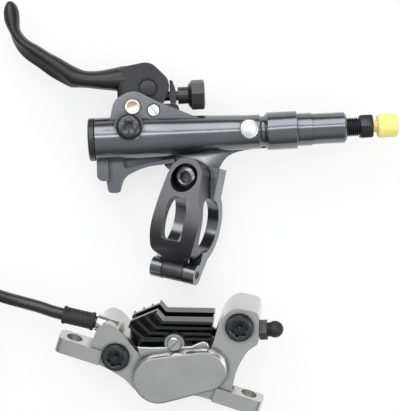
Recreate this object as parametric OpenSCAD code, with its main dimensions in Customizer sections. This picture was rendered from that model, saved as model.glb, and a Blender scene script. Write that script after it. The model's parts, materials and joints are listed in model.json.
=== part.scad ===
// Hydraulic disc brake for a bicycle: handlebar lever, four-piston post-mount caliper and hose.
// Millimetres. The origin is the middle of the handlebar bore. X runs along the master
// cylinder towards the hose end, Y towards the lever blade, and Z up from the table.

/* [Master cylinder] */
// Radius of the reservoir end of the lever body
body_r = 8.8; // [7.8:0.1:9.2]
// Radius of the lever body where it meets the neck
neck_r = 7.0; // [6.6:0.1:7.4]
// Radius of the hose-end sleeve
sleeve_r = 7.7; // [7.4:0.1:8.2]
// Radius of the hose-end spigot
spigot_r = 6.3; // [5.2:0.1:6.6]
// Length of the body from the end cap to the neck
barrel_len = 67; // [64:0.5:70]
// Length of the hose-end sleeve
sleeve_len = 12; // [10:0.5:15]
// Length of the hose-end spigot with its collar
spigot_len = 20; // [17:0.5:24]
// Radius of the master piston
piston_r = 4.9; // [4:0.05:5]
// Distance of the cylinder's axis in front of the handlebar's axis
cyl_y = 35.4; // [34:0.1:38]

/* [Lever] */
// Distance of the pivot pin in front of the cylinder's axis
pivot_rise = 12.2; // [11.4:0.1:13]
// Radius of the pivot pin
pivot_r = 2.4; // [1.8:0.1:2.8]
// Depth of the blade at its hub
hub_depth = 9.6; // [8:0.1:10]
// Greatest depth of the blade under the finger
blade_depth = 10; // [7:0.1:12]
// Radius of the reach adjuster's nut pin in the blade
nut_pin_r = 4; // [3.2:0.1:4.4]
// Radius of the reach knob's head
knob_r = 6.1; // [5:0.1:7]
// Length of the reach knob's head
knob_len = 6.8; // [5:0.1:8]

/* [Handlebar clamp] */
// Radius of the handlebar
bar_r = 11.1; // [10.9:0.05:11.2]
// Width of the clamp band along the handlebar
band_w = 15.6; // [14:0.1:18]
// Wall of the clamp band
band_wall = 2.9; // [2.2:0.1:3.4]
// Width of each rear leg
leg_w = 4.9; // [4:0.1:5.4]
// Wall of each rear leg
leg_wall = 4; // [3:0.1:4.6]
// Radius of the hinge barrels
hinge_r = 4.2; // [3.8:0.1:4.6]
// Radius of the hinge pin
hinge_pin_r = 1.6; // [1.2:0.1:2]
// Turn of the handlebar against the cylinder, seen from above
bar_turn = -14.3; // [-18:0.1:-10]
// Lift of the handlebar's hose-side end above the table
bar_lift = 21; // [16:0.5:23]

/* [Caliper] */
// Distance between the two mounting holes
mount_pitch = 74.2; // [73:0.1:76]
// Radius of the mounting holes
mount_hole_r = 3.25; // [3:0.05:3.6]
// Thickness of the mounting tabs
tab_t = 6.4; // [5:0.1:8]
// Depth of the mounting tabs along the wheel's axle
tab_depth = 9.6; // [8.6:0.1:10.4]
// Thickness of each caliper half at its rim
half_t = 9; // [8:0.1:9.6]
// Thickness of each caliper half over the pistons
lobe_t = 14; // [13:0.1:15.5]
// Radius of the large pistons
big_piston_r = 8.5; // [7.6:0.1:8.6]
// Radius of the small pistons
small_piston_r = 7.55; // [6.6:0.05:7.9]
// Distance between the two pistons of one half
piston_pitch = 19.6; // [18:0.1:21]
// Width of the slot for the disc
disc_slot = 3.2; // [2.8:0.1:3.6]
// Width of the pad bay, from back plate to back plate
bay_w = 11; // [10:0.1:12]
// Thickness of a pad's back plate
plate_t = 1.8; // [1.4:0.1:2.2]
// Thickness of a pad's lining
lining_t = 1.9; // [1.2:0.1:2.1]
// Number of cooling fins on each pad
fin_count = 4; // [3:1:5]
// Radius of the pad axle
axle_r = 1.9; // [1.4:0.05:2.1]

/* [Hose] */
// Outer diameter of the hose
hose_d = 5; // [4.6:0.1:5.4]
// Mean diameter of the tied coil of hose
coil_d = 56; // [50:1:62]

/* [Hidden] */
$fn = 64;

// Clearances
slide_gap = 0.03;
turn_gap = 0.05;
part_gap = 0.3;
eps = 0.01;

// Master cylinder stations along X
cap_t = 2.5;
body_x0 = -37.9 + cap_t;
neck_x = body_x0 + barrel_len;
neck_len = 3.4;
sleeve_x = neck_x + neck_len;
collar_x = sleeve_x + sleeve_len;
collar_len = 6;
collar_r = spigot_r + 0.4;
spigot_x = collar_x + collar_len;
spigot_end = collar_x + spigot_len;
bore_r = piston_r + slide_gap;
wire_r = 0.45;
spring_r = piston_r - wire_r - 0.15;
table_z = -17.6;

// Lever stations
pivot = [-19.3, cyl_y + pivot_rise];
ear_r = 8;
lever_z = -4.4;
arm_z = -2.4;
ear_t = 3;
ear_in = hub_depth / 2 + part_gap;
bush_t = 0.8;
nut_pin = [pivot.x + 6.5, pivot.y + 7.8];
knob_y = nut_pin.y - 3.4;
roller_r = 2.4;
rod_x = pivot.x + roller_r + part_gap;
rod_head_t = 2;
piston_x = rod_x + 11;
piston_len = 20;
arm_t = 4.4;
ear_top = lever_z + ear_in + bush_t + ear_t;
pin_head_r = 3.3;
bleed_at = [pivot.x - 1.7, cyl_y + 4.1];
bleed_boss_r = 5.9;
plug_at = [neck_x - 4.2, cyl_y + 0.9];
plug_r = 3.85;
stroke_at = [pivot.x + 8.4, pivot.y - 1.6];
stroke_r = 2.7;

// Reservoir under the cylinder
tank_x = body_x0 + 3;
tank_y = cyl_y - 7.6;
tank_len = 44;
tank_w = 13.6;
tank_wall = 2.2;
cover_t = 1.5;
cover_x = [tank_x + 1.2, tank_x + tank_len - 1.2];
cover_y = tank_y + tank_w / 2;

// Clamp stations, with X along the handlebar and Z out of the band
leg_x = 7.3;
band_r = bar_r + band_wall;
leg_r = bar_r + leg_wall;
hinge_y = -20.2;
hinge_z = 0.8;
bolt_y = 18.6;
bolt_x = -0.8;
split_gap = 0.8;
bolt_r = 2.5;
bolt_head_r = 4.2;
bolt_head_t = 6;
bolt_seat = 3.6;
bolt_lean = 10;
boss_r = 7.1;
boss_top = 9.4;
bore_sink_r = 5.6;
tongue_w = 2 * (leg_x - leg_w / 2 - part_gap);

// Caliper place and stations
cal_at = [-13, -57, -1.2];
cal_turn = -20.6;
cal_tilt = 18;
tab_top = 1.2;
tab_mid_z = tab_depth / 2 + 0.2;
mount_x = [0.6 - mount_pitch / 2, 0.6 + mount_pitch / 2];
pair_turn = 31;
pair_at = [9.2, 3];
cal_bolt_at = [[-24.9, 11.9], [27.1, 14]];
cal_bolt_r = 3;
cal_head_r = 5.5;
cal_head_t = 3.2;
bay_t = [-18.8, 18.2];
bay_n = [-13, 30];
disc_edge_n = 6.6;
pad_gap = 0.25;
axle_at = [0, 12.8];
axle_len = 2 * half_t + 4.4;
axle_boss_r = 4;
axle_head_r = 2.8;
fin_t = 1.1;
fin_pitch = 2.2;
fin_reach = 7.8;
nipple_turn = 22;
nipple_hex_r = 4.1;
nipple_at = [33.4, 28.6, 4];
hose_exit = [-29.2, 10.2, 4];
exit_turn = 5;
exit_len = 1.6;
boot_len = 13;
boot_r = 3.5;

// Points of a soft corner between a and c, pulled to b
function bend(a, b, c, steps) =
    [for (i = [0:steps]) let (t = i / steps) (1 - t) * (1 - t) * a + 2 * t * (1 - t) * b + t * t * c];

// Outline whose points [x, y, r] have their corners rounded over the length r
function soften(pts, steps = 6) = [
    for (i = [0:len(pts) - 1])
        let (
            last = pts[(i + len(pts) - 1) % len(pts)],
            next = pts[(i + 1) % len(pts)],
            p = [pts[i].x, pts[i].y],
            a = [last.x, last.y] - p,
            c = [next.x, next.y] - p,
            r = min(pts[i].z, 0.48 * norm(a), 0.48 * norm(c))
        )
        each (r < eps ? [p] : bend(p + r * a / norm(a), p, p + r * c / norm(c), steps))
];

// Smooth course through a list of points, with steps spans between neighbours
function course(pts, steps) = [
    for (i = [0:len(pts) - 2])
        let (
            p0 = pts[max(i - 1, 0)],
            p1 = pts[i],
            p2 = pts[i + 1],
            p3 = pts[min(i + 2, len(pts) - 1)]
        )
        for (k = [0:steps - (i < len(pts) - 2 ? 1 : 0)])
            let (t = k / steps)
            0.5 * (2 * p1 + (p2 - p0) * t + (2 * p0 - 5 * p1 + 4 * p2 - p3) * t * t
                + (3 * p1 - p0 - 3 * p2 + p3) * t * t * t)
];

// Solid that joins equal rings of points, closed with flat ends
module loft(rings) {
    n = len(rings[0]);
    m = len(rings);
    polyhedron(
        points = [for (ring = rings) each ring],
        faces = [
            [for (i = [0:n - 1]) i],
            for (j = [0:m - 2], i = [0:n - 1])
                let (k = (i + 1) % n)
                each [
                    [j * n + i, (j + 1) * n + i, (j + 1) * n + k],
                    [j * n + i, (j + 1) * n + k, j * n + k]
                ],
            [for (i = [0:n - 1]) m * n - 1 - i]
        ],
        convexity = 6
    );
}

function unit(v) = v / norm(v);
function direction(path, i) =
    unit(path[min(i + 1, len(path) - 1)] - path[max(i - 1, 0)]);

// Round tube of radius r along a path that never runs straight up
module tube(path, r, sides = 8) {
    loft([
        for (i = [0:len(path) - 1])
            let (
                d = direction(path, i),
                s = unit(cross([0, 0, 1], d)),
                u = cross(d, s)
            )
            [for (k = [0:sides - 1]) path[i] + r * (cos(360 * k / sides) * s + sin(360 * k / sides) * u)]
    ]);
}

// Cylinder along X from x0 to x1
module x_rod(r, x0, x1, r2 = undef) {
    translate([x0, 0, 0]) rotate([0, 90, 0]) cylinder(r1 = r, r2 = is_undef(r2) ? r : r2, h = x1 - x0);
}

// Washer with its axis along Z
module ring(r_out, r_in, h) {
    difference() {
        cylinder(r = r_out, h = h);
        translate([0, 0, -eps]) cylinder(r = r_in, h = h + 2 * eps);
    }
}

// Screw with its head's top at z = 0 and a socket with the given number of sides
module socket_screw(head_r, head_t, r, len, socket_r, sides) {
    difference() {
        union() {
            translate([0, 0, -head_t]) cylinder(r = head_r, h = head_t - 0.5);
            translate([0, 0, -0.5]) cylinder(r1 = head_r, r2 = head_r - 0.5, h = 0.5);
            translate([0, 0, -head_t - len]) cylinder(r = r, h = len + eps);
        }
        translate([0, 0, -0.6 * head_t]) cylinder(r = socket_r, h = head_t, $fn = sides);
    }
}

module on_cylinder() {
    translate([0, cyl_y, 0]) children();
}

module on_bar() {
    rotate([0, 0, bar_turn]) rotate([0, -bar_lift, 0]) children();
}

module on_caliper() {
    translate(cal_at) rotate([0, 0, cal_turn]) rotate([cal_tilt, 0, 0]) children();
}

// Caliper frame turned so that X runs through both pistons of a half
module on_pair() {
    on_caliper() translate([pair_at.x, pair_at.y, 0]) rotate([0, 0, pair_turn]) children();
}

// Lever body

module barrel_outside() {
    on_cylinder() rotate([0, 90, 0]) rotate_extrude() polygon([
        [0, body_x0],
        [body_r - 0.4, body_x0],
        [body_r, body_x0 + 0.4],
        [body_r, body_x0 + 18],
        [body_r - 0.5, body_x0 + 30],
        [neck_r, neck_x - 4],
        [neck_r, neck_x],
        [neck_r - 0.8, neck_x + 1],
        [neck_r - 0.8, neck_x + 2],
        [sleeve_r, sleeve_x],
        [sleeve_r, collar_x - 0.3],
        [sleeve_r - 0.3, collar_x],
        [collar_r, collar_x],
        [collar_r, spigot_x],
        [spigot_r, spigot_x],
        [spigot_r, spigot_end - 0.8],
        [spigot_r - 0.8, spigot_end],
        [0, spigot_end]
    ]);
}

function ear_outline() = soften([
    [pivot.x - 10.2, cyl_y + 5, 0],
    [pivot.x - 7.4, pivot.y + 3.4, 3],
    [pivot.x + 0.6, pivot.y + ear_r - 0.6, 6],
    [pivot.x + 8.5, pivot.y + 2.6, 4],
    [pivot.x + 21, pivot.y - 3, 5],
    [pivot.x + 30, cyl_y + 5, 0]
]);

module ears() {
    for (side = [-1, 1])
        translate([0, 0, lever_z + (side > 0 ? ear_in + bush_t : -ear_in - bush_t - ear_t)])
            linear_extrude(ear_t) polygon(ear_outline());
}

// Outline of the reservoir, drawn in by the distance inset
function tank_outline(inset = 0) = soften([
    [tank_x + inset, tank_y + inset, 5],
    [tank_x + tank_len - inset, tank_y + inset, 6],
    [tank_x + tank_len - inset, tank_y + tank_w - inset, 6],
    [tank_x + inset, tank_y + tank_w - inset, 5]
]);

module reservoir() {
    translate([0, 0, table_z + tank_wall])
        linear_extrude(-table_z - tank_wall) polygon(tank_outline());
}

module reservoir_room() {
    translate([0, 0, table_z + tank_wall - eps])
        linear_extrude(3.6) polygon(tank_outline(tank_wall));
}

// Brace under the body whose foot bears on the handlebar beside the clamp
module brace() {
    translate([0, 0, -9]) linear_extrude(6) polygon(soften([
        [-31.6, 29, 0], [-31.8, 18.5, 1], [-31.2, 13.4, 1.4], [-26.4, 13.2, 1.4],
        [-24.6, 19.6, 3.5], [-16, 23.4, 6], [-3.5, 24.4, 0], [-3.5, 26.2, 0],
        [-14, 25, 4], [-24.4, 22.9, 1.6], [-24.6, 29, 0]
    ]));
    // Web behind the strut
    translate([0, 0, -9]) linear_extrude(1.6) polygon([
        [-26, 29], [-26, 22.6], [-14, 24.6], [-4, 25.6], [-4, 29]
    ]);
    translate([0, 0, -7.4]) linear_extrude(7) polygon(soften([
        [-35.2, 29, 0], [-35.4, 19.6, 1.4], [-33.4, 18.2, 1], [-30.6, 18.4, 0], [-30.6, 29, 0]
    ]));
}

// Arm that carries the clamp's rear half, from under the cylinder to the handlebar
module clamp_arm() {
    translate([0, 0, -8]) linear_extrude(7.2) polygon(soften([
        [-9, 30, 0], [-8, 23, 3], [2, 17, 2], [10.5, 12, 0], [11.8, 12.6, 1],
        [13.2, 19, 3], [18, 26.6, 5], [26, 28.4, 4], [46, 28.9, 3], [46, 32, 0]
    ]));
}

module leg(side) {
    translate([side * leg_x - leg_w / 2, 0, 0]) rotate([90, 0, 90]) linear_extrude(leg_w) difference() {
        union() {
            intersection() {
                circle(r = leg_r);
                translate([-leg_r, -leg_r - 1]) square([2 * leg_r, leg_r + 1 - split_gap / 2]);
            }
            translate([hinge_y, hinge_z]) circle(r = hinge_r);
            polygon([
                [hinge_y - 1, hinge_z - hinge_r + 0.3], [-bar_r + 1, -9],
                [-bar_r + 0.5, -split_gap / 2], [-band_r - part_gap, -split_gap / 2],
                [hinge_y + 1, hinge_z + 1]
            ]);
        }
        circle(r = bar_r);
        translate([hinge_y, hinge_z]) circle(r = hinge_pin_r + turn_gap);
    }
}

// Threaded lug between the legs, under the clamp bolt
module bolt_lug() {
    translate([-leg_x - leg_w / 2, bar_r - 1, -8.4])
        cube([2 * leg_x + leg_w, bolt_y - bar_r + 6.4, 8.4 - split_gap / 2]);
}

module master_body() {
    color([0.42, 0.42, 0.45]) difference() {
        union() {
            barrel_outside();
            ears();
            reservoir();
            brace();
            difference() {
                union() {
                    clamp_arm();
                    on_bar() bolt_lug();
                }
                on_bar() x_rod(bar_r + eps, -40, 40);
                on_bar() translate([-20, -6, -split_gap / 2]) cube([40, 32, 20]);
            }
            on_bar() leg(-1);
            on_bar() leg(1);
            translate(bleed_at) cylinder(r1 = bleed_boss_r - 0.3, r2 = bleed_boss_r, h = body_r - 0.6);
            // Pointed lip of the bleed boss
            translate(bleed_at) linear_extrude(body_r - 0.9) polygon(soften([
                [-5.8, 0, 1], [-4.9, -4.3, 2], [0, -7.6, 1.6], [5, -4.1, 2], [5.8, 0, 1]
            ]));
        }
        on_bar() x_rod(bar_r, -22, 22);
        on_bar() on_bolt() translate([0, 0, -16]) cylinder(r = bolt_r, h = 20);
        on_cylinder() x_rod(bore_r, body_x0 + 6, neck_x + 6);
        on_cylinder() x_rod(body_r - 2.2, body_x0 - 1, body_x0 + 8);
        on_cylinder() x_rod(hose_d / 2, neck_x + 4, spigot_end + 1);
        // Slot in which the lever's arm swings
        translate([pivot.x - 11, cyl_y - roller_r - 0.8, lever_z - ear_in - bush_t])
            cube([19.6, 40, 2 * (ear_in + bush_t)]);
        translate([pivot.x, pivot.y, -20]) cylinder(r = pivot_r + slide_gap, h = 40);
        translate([pivot.x, pivot.y, ear_top]) cylinder(r = pin_head_r + part_gap, h = 10);
        translate([stroke_at.x, stroke_at.y, lever_z]) cylinder(r = stroke_r + turn_gap, h = 20);
        reservoir_room();
        translate([bleed_at.x, bleed_at.y, body_r - 5.4]) cylinder(r = 2.6, h = 10);
        translate([bleed_at.x, bleed_at.y, body_r - 0.6]) cylinder(r = 5.5, h = 10);
        translate([plug_at.x, plug_at.y, neck_r - 1.6]) cylinder(r = plug_r + turn_gap, h = 5);
        for (x = cover_x)
            translate([x, cover_y, table_z]) cylinder(r = 1.2, h = 6);
    }
}

module cylinder_end_cap() {
    color([0.12, 0.12, 0.13]) on_cylinder() difference() {
        union() {
            x_rod(body_r - 0.5, body_x0 - cap_t, body_x0 - cap_t + 0.5, body_r);
            x_rod(body_r, body_x0 - cap_t + 0.5, body_x0);
            x_rod(body_r - 2.25, body_x0 - eps, body_x0 + 4);
        }
        x_rod(5.6, body_x0 - cap_t - 1, body_x0 - cap_t + 0.8);
    }
}

module reservoir_diaphragm() {
    color([0.1, 0.1, 0.1]) translate([0, 0, table_z + cover_t]) difference() {
        linear_extrude(tank_wall - cover_t) polygon(tank_outline(0.4));
        for (x = cover_x)
            translate([x, cover_y, -1]) cylinder(r = 1.3, h = 3);
    }
}

module reservoir_cover() {
    color([0.13, 0.13, 0.14]) difference() {
        translate([0, 0, table_z]) linear_extrude(cover_t) polygon(tank_outline());
        for (x = cover_x) {
            translate([x, cover_y, table_z - 1]) cylinder(r = 1.3, h = 4);
            translate([x, cover_y, table_z - eps]) cylinder(r1 = 2.3, r2 = 1.3, h = 1);
        }
    }
}

module cover_screw(i) {
    color([0.7, 0.7, 0.72]) translate([cover_x[i], cover_y, table_z + 0.1]) difference() {
        union() {
            cylinder(r1 = 2.1, r2 = 1.2, h = 0.9);
            cylinder(r = 1.2, h = 5.6);
        }
        translate([0, 0, -eps]) cylinder(r = 0.8, h = 0.7, $fn = 6);
    }
}

module cover_screw_1() { cover_screw(0); }
module cover_screw_2() { cover_screw(1); }

// Lever blade: stations [lower x, lower y, upper x, upper y, half depth, crease share]
blade_line = [
    [-24, 53.0, -22, 64.6, hub_depth / 2, 0.45],
    [-29.5, 55.6, -28, 64.4, 4.3, 0.42],
    [-37, 56.6, -35.6, 64.0, 4.4, 0.4],
    [-44.5, 57.8, -40, 65.0, 4.8, 0.4],
    [-51, 61.6, -47.4, 70.4, blade_depth / 2, 0.42],
    [-58.4, 67.0, -54.8, 75.2, blade_depth / 2, 0.44],
    [-64.4, 71.4, -59.6, 77.4, 4.8, 0.46],
    [-67.2, 76.0, -62.6, 80.2, 4.4, 0.5],
    [-68.6, 80.6, -63.6, 82.4, 4.2, 0.5],
    [-70.2, 86.0, -63.9, 86.4, 4.4, 0.5],
    [-70.5, 90.4, -65.0, 89.6, 3.9, 0.5],
    [-69.2, 93.4, -66.8, 92.6, 2.2, 0.5]
];

// One ring of the blade: bevelled front edge, crest, crease and hollow finger face
function blade_ring(s) =
    let (
        lo = [s[0], s[1]],
        up = [s[2], s[3]],
        h = s[4],
        at = [
            [0, 0], [0.03, 0.55], [0.14, 0.86], [s[5], 1], [0.72, 0.93], [0.93, 0.72], [1, 0.3],
            [1, -0.3], [0.93, -0.72], [0.72, -0.93], [s[5], -1], [0.14, -0.86], [0.03, -0.55]
        ]
    )
    [for (q = at) let (p = lo + q.x * (up - lo)) [p.x, p.y, q.y * h]];

function hub_outline() = soften([
    [pivot.x - 5.6, pivot.y - 3.4, 3], [pivot.x - 6.6, pivot.y + 5.2, 2],
    [pivot.x - 2.6, pivot.y + 17, 1], [pivot.x + 6, pivot.y + 18.4, 3],
    [pivot.x + 9, pivot.y + 17.4, 3], [pivot.x + 15, pivot.y + 11, 3],
    [pivot.x + 14.9, pivot.y + 6.6, 3], [pivot.x + 12, pivot.y + 0.8, 3],
    [pivot.x + 4.6, pivot.y - 3.6, 3]
]);

module in_lever() {
    translate([0, 0, lever_z]) children();
}

module lever_blade() {
    color([0.16, 0.16, 0.17]) in_lever() difference() {
        union() {
            loft([for (s = course(blade_line, 4)) blade_ring(s)]);
            translate([0, 0, -hub_depth / 2]) linear_extrude(hub_depth) polygon(hub_outline());
            translate([0, 0, arm_z - lever_z - arm_t / 2]) linear_extrude(arm_t) polygon(soften([
                [pivot.x - 4.6, pivot.y, 0], [pivot.x - 2.2, cyl_y + roller_r + 0.2, 1],
                [pivot.x + 2.2, cyl_y + roller_r + 0.2, 1], [pivot.x + 4.6, pivot.y, 0]
            ]));
            translate([pivot.x, pivot.y, -hub_depth / 2]) cylinder(r = 5.4, h = hub_depth);
            // Toe under the reach screw
            translate([0, 0, -hub_depth / 2 + 0.5]) linear_extrude(hub_depth - 1) polygon(soften([
                [pivot.x + 6, pivot.y + 1, 0], [pivot.x + 9.6, pivot.y - 2.6, 1],
                [pivot.x + 18.7, pivot.y - 2.4, 0.8], [pivot.x + 18.7, pivot.y - 0.4, 0.8],
                [pivot.x + 17.6, pivot.y + 0.9, 0.8], [pivot.x + 11, pivot.y + 1.2, 0]
            ]));
        }
        translate([pivot.x, pivot.y, -20]) cylinder(r = pivot_r + turn_gap, h = 40);
        translate([nut_pin.x, nut_pin.y, -20]) cylinder(r = nut_pin_r, h = 40);
        translate([0, knob_y, 0]) x_rod(2.3, nut_pin.x, nut_pin.x + 20);
        translate([pivot.x - 9.6, pivot.y + 7, -20]) cylinder(r = 1.1, h = 40);
    }
}

module pivot_pin() {
    z1 = ear_in + bush_t + ear_t;
    color([0.72, 0.56, 0.42]) translate([pivot.x, pivot.y, lever_z]) difference() {
        union() {
            translate([0, 0, -z1]) cylinder(r = pivot_r, h = 2 * z1);
            translate([0, 0, z1]) cylinder(r = pin_head_r, h = 0.5);
            translate([0, 0, z1 + 0.5]) cylinder(r1 = pin_head_r, r2 = pin_head_r - 0.4, h = 0.4);
        }
        translate([0, 0, z1 - 0.6]) cylinder(r = 1.3, h = 3, $fn = 6);
    }
}

module pivot_bush(side) {
    color([0.5, 0.42, 0.3]) in_lever()
        translate([pivot.x, pivot.y, side > 0 ? hub_depth / 2 + 0.1 : -ear_in - bush_t])
            ring(4.6, pivot_r + turn_gap, bush_t + part_gap - 0.1);
}

module pivot_bush_upper() { pivot_bush(1); }
module pivot_bush_lower() { pivot_bush(-1); }

module reach_nut_pin() {
    color([0.1, 0.1, 0.11]) in_lever() difference() {
        translate([nut_pin.x, nut_pin.y, -hub_depth / 2 - 0.2])
            cylinder(r = nut_pin_r - slide_gap, h = hub_depth + 0.4);
        translate([0, knob_y, 0]) x_rod(2, nut_pin.x - 1, nut_pin.x + 20);
    }
}

module reach_knob() {
    x0 = nut_pin.x + nut_pin_r;
    x1 = x0 + 12.2;
    color([0.11, 0.11, 0.12]) translate([0, knob_y, lever_z]) difference() {
        union() {
            x_rod(1.95, nut_pin.x, x1);
            x_rod(3.5, x1 - 4.2, x1);
            translate([x1 - eps, 0, 0]) rotate([0, 90, 0]) cylinder(r1 = 4.4, r2 = knob_r, h = 1.6, $fn = 8);
            translate([x1 + 1.5, 0, 0]) rotate([0, 90, 0]) cylinder(r = knob_r, h = knob_len - 2, $fn = 8);
            translate([x1 + knob_len - 0.6, 0, 0]) rotate([0, 90, 0])
                cylinder(r1 = knob_r, r2 = knob_r - 0.8, h = 0.6, $fn = 8);
        }
        x_rod(1.3, x1 + knob_len - 3, x1 + knob_len + 1);
    }
}

// Silver plate between the blade's hub and the reach knob, on which the knob bears
module cam_link() {
    x0 = nut_pin.x + 8.7;
    color([0.75, 0.75, 0.77]) in_lever() difference() {
        translate([0, 0, -hub_depth / 2 + 0.6]) linear_extrude(hub_depth - 1.2) polygon(soften([
            [x0, pivot.y + 1.4, 0.4], [x0 + 0.1, pivot.y + 10.8, 0.8], [x0 + 1.3, pivot.y + 10.4, 1],
            [x0 + 2.6, pivot.y + 6.4, 2], [x0 + 2.6, pivot.y + 1.4, 0.8]
        ]));
        translate([0, knob_y, 0]) x_rod(2.2, x0 - 5, x0 + 10);
    }
}

module cam_roller() {
    color([0.6, 0.6, 0.62]) translate([pivot.x, cyl_y, arm_z - arm_t / 2])
        cylinder(r = roller_r, h = arm_t);
}

module push_rod() {
    color([0.6, 0.6, 0.62]) on_cylinder() {
        x_rod(3.6, rod_x, rod_x + rod_head_t);
        x_rod(1.8, rod_x + rod_head_t - eps, piston_x);
    }
}

module master_piston() {
    color([0.65, 0.63, 0.55]) on_cylinder() difference() {
        union() {
            x_rod(piston_r, piston_x, piston_x + 3);
            x_rod(piston_r - 1.4, piston_x + 3 - eps, piston_x + 6);
            x_rod(piston_r, piston_x + 6 - eps, piston_x + piston_len - 5);
            x_rod(piston_r - 1.4, piston_x + piston_len - 5 - eps, piston_x + piston_len - 2);
            x_rod(piston_r - 0.6, piston_x + piston_len - 2 - eps, piston_x + piston_len);
        }
        x_rod(1.6, piston_x + piston_len - 8, piston_x + piston_len + 1);
    }
}

module seal(x) {
    color([0.08, 0.08, 0.08]) on_cylinder() translate([x, 0, 0]) rotate([0, 90, 0])
        ring(piston_r - 0.1, piston_r - 1.4, 2.6);
}

module primary_seal() { seal(piston_x + piston_len - 4.8); }
module secondary_seal() { seal(piston_x + 3.2); }

module return_spring() {
    x0 = piston_x + piston_len + wire_r;
    x1 = neck_x + 6 - wire_r;
    turns = 6;
    color([0.7, 0.7, 0.72]) on_cylinder() rotate([0, 90, 0]) tube([
        for (i = [0:12 * turns])
            [spring_r * cos(30 * i), spring_r * sin(30 * i), x0 + i * (x1 - x0) / (12 * turns)]
    ], wire_r, 6);
}

module bleed_screw() {
    color([0.13, 0.13, 0.14]) translate([bleed_at.x, bleed_at.y, body_r + 2.2])
        socket_screw(5.1, 2.8, 2.55, 3.4, 1.8, 6);
}

module port_plug() {
    color([0.82, 0.82, 0.84]) translate([plug_at.x, plug_at.y, neck_r - 1.6]) {
        cylinder(r = plug_r, h = 1.8);
        translate([0, 0, 1.8 - eps]) cylinder(r1 = plug_r, r2 = plug_r - 0.6, h = 0.4);
    }
}

module stroke_screw() {
    color([0.78, 0.8, 0.76]) in_lever()
        translate([stroke_at.x, stroke_at.y, ear_in + bush_t + 0.4]) difference() {
        union() {
            cylinder(r = stroke_r, h = ear_t - 1);
            translate([0, 0, ear_t - 1 - eps]) cylinder(r1 = stroke_r, r2 = stroke_r - 0.4, h = 0.4);
        }
        translate([-3, -0.35, ear_t - 1.4]) cube([6, 0.7, 2]);
    }
}

// Clamp

// Front of the clamp band from above: bolt boss, bulged sides and hinge tongue
module band_outline() {
    w = band_w / 2;
    translate([bolt_x, bolt_y]) circle(r = boss_r);
    polygon(soften([
        [-w - 0.4, bolt_y, 0], [-w - 1.4, -8, 8], [-w - 1.1, -13.6, 2.5], [-tongue_w / 2, -15.2, 1],
        [-tongue_w / 2, -28, 0], [tongue_w / 2, -28, 0], [tongue_w / 2, -15, 1],
        [w + 0.8, -13.6, 2.5], [w + 3.2, -6, 8], [w + 3.8, 2, 8], [w - 0.4, 12, 6],
        [bolt_x + boss_r, bolt_y, 0]
    ]));
}

// Side of the clamp band, from the bolt boss over the handlebar to the hinge
module band_side() {
    polygon(soften([
        [28, split_gap / 2, 0], [28, 7.4, 2], [bolt_y, boss_top, 8], [8, band_r - 0.6, 8],
        [-4, band_r + 1.2, 10], [-12.6, 10.6, 6], [hinge_y + 2.6, hinge_z + hinge_r - 0.6, 1],
        [hinge_y, hinge_z + hinge_r - 0.2, 0], [hinge_y, hinge_z, 0],
        [hinge_y + 3, split_gap / 2 - 1, 1], [-14.6, split_gap / 2, 0]
    ]));
}

// Place of the clamp bolt, with z = 0 under its head
module on_bolt() {
    translate([bolt_x, bolt_y, bolt_seat]) rotate([bolt_lean, 0, 0]) children();
}

module clamp_band() {
    color([0.36, 0.34, 0.38]) on_bar() difference() {
        union() {
            intersection() {
                translate([0, 0, -4]) linear_extrude(24) band_outline();
                translate([-20, 0, 0]) rotate([90, 0, 90]) linear_extrude(40) band_side();
            }
            translate([-tongue_w / 2, hinge_y, hinge_z]) x_rod(hinge_r - 0.2, 0, tongue_w);
        }
        x_rod(bar_r, -20, 20);
        translate([0, hinge_y, hinge_z]) x_rod(hinge_pin_r + turn_gap, -20, 20);
        on_bolt() translate([0, 0, -8]) cylinder(r = bolt_r + 0.2, h = 12);
        on_bolt() cylinder(r = bore_sink_r, h = 20);
        // Window
        linear_extrude(20) polygon(soften([
            [-4.4, -8.4, 2], [4.6, -8.4, 2], [5.2, 9.4, 2.5], [-3.8, 9.4, 2.5]
        ]));
    }
}

module hinge_pin() {
    w = 2 * leg_x + leg_w;
    color([0.2, 0.2, 0.21]) on_bar() translate([0, hinge_y, hinge_z]) difference() {
        x_rod(hinge_pin_r, -w / 2 + 0.2, w / 2 + 0.3);
        translate([w / 2 - 1, 0, 0]) rotate([0, 90, 0]) cylinder(r = 0.9, h = 3, $fn = 6);
    }
}

module clamp_bolt() {
    color([0.2, 0.2, 0.21]) on_bar() on_bolt() translate([0, 0, bolt_head_t])
        socket_screw(bolt_head_r, bolt_head_t, bolt_r - 0.05, 10, 2.2, 6);
}

module hose_nut() {
    x0 = spigot_end;
    color([0.1, 0.1, 0.11]) on_cylinder() difference() {
        union() {
            x_rod(3.9, x0, x0 + 5);
            x_rod(3.4, x0 + 4.8, x0 + 5.6);
            translate([x0 + 5.4, 0, 0]) rotate([0, 90, 0]) cylinder(r = 5.3, h = 5.6, $fn = 6);
        }
        x_rod(2.6, x0 + 3, x0 + 12);
    }
}

module shipping_plug() {
    x0 = spigot_end + 11;
    color([0.86, 0.78, 0.1]) on_cylinder() {
        x_rod(2.55, x0 - 5, x0 + 1.9);
        x_rod(4.4, x0 + 1.8, x0 + 2.5, 4.9);
        x_rod(4.9, x0 + 2.49, x0 + 9.4);
        x_rod(4.9, x0 + 9.39, x0 + 10, 4.3);
    }
}

// Caliper

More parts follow.
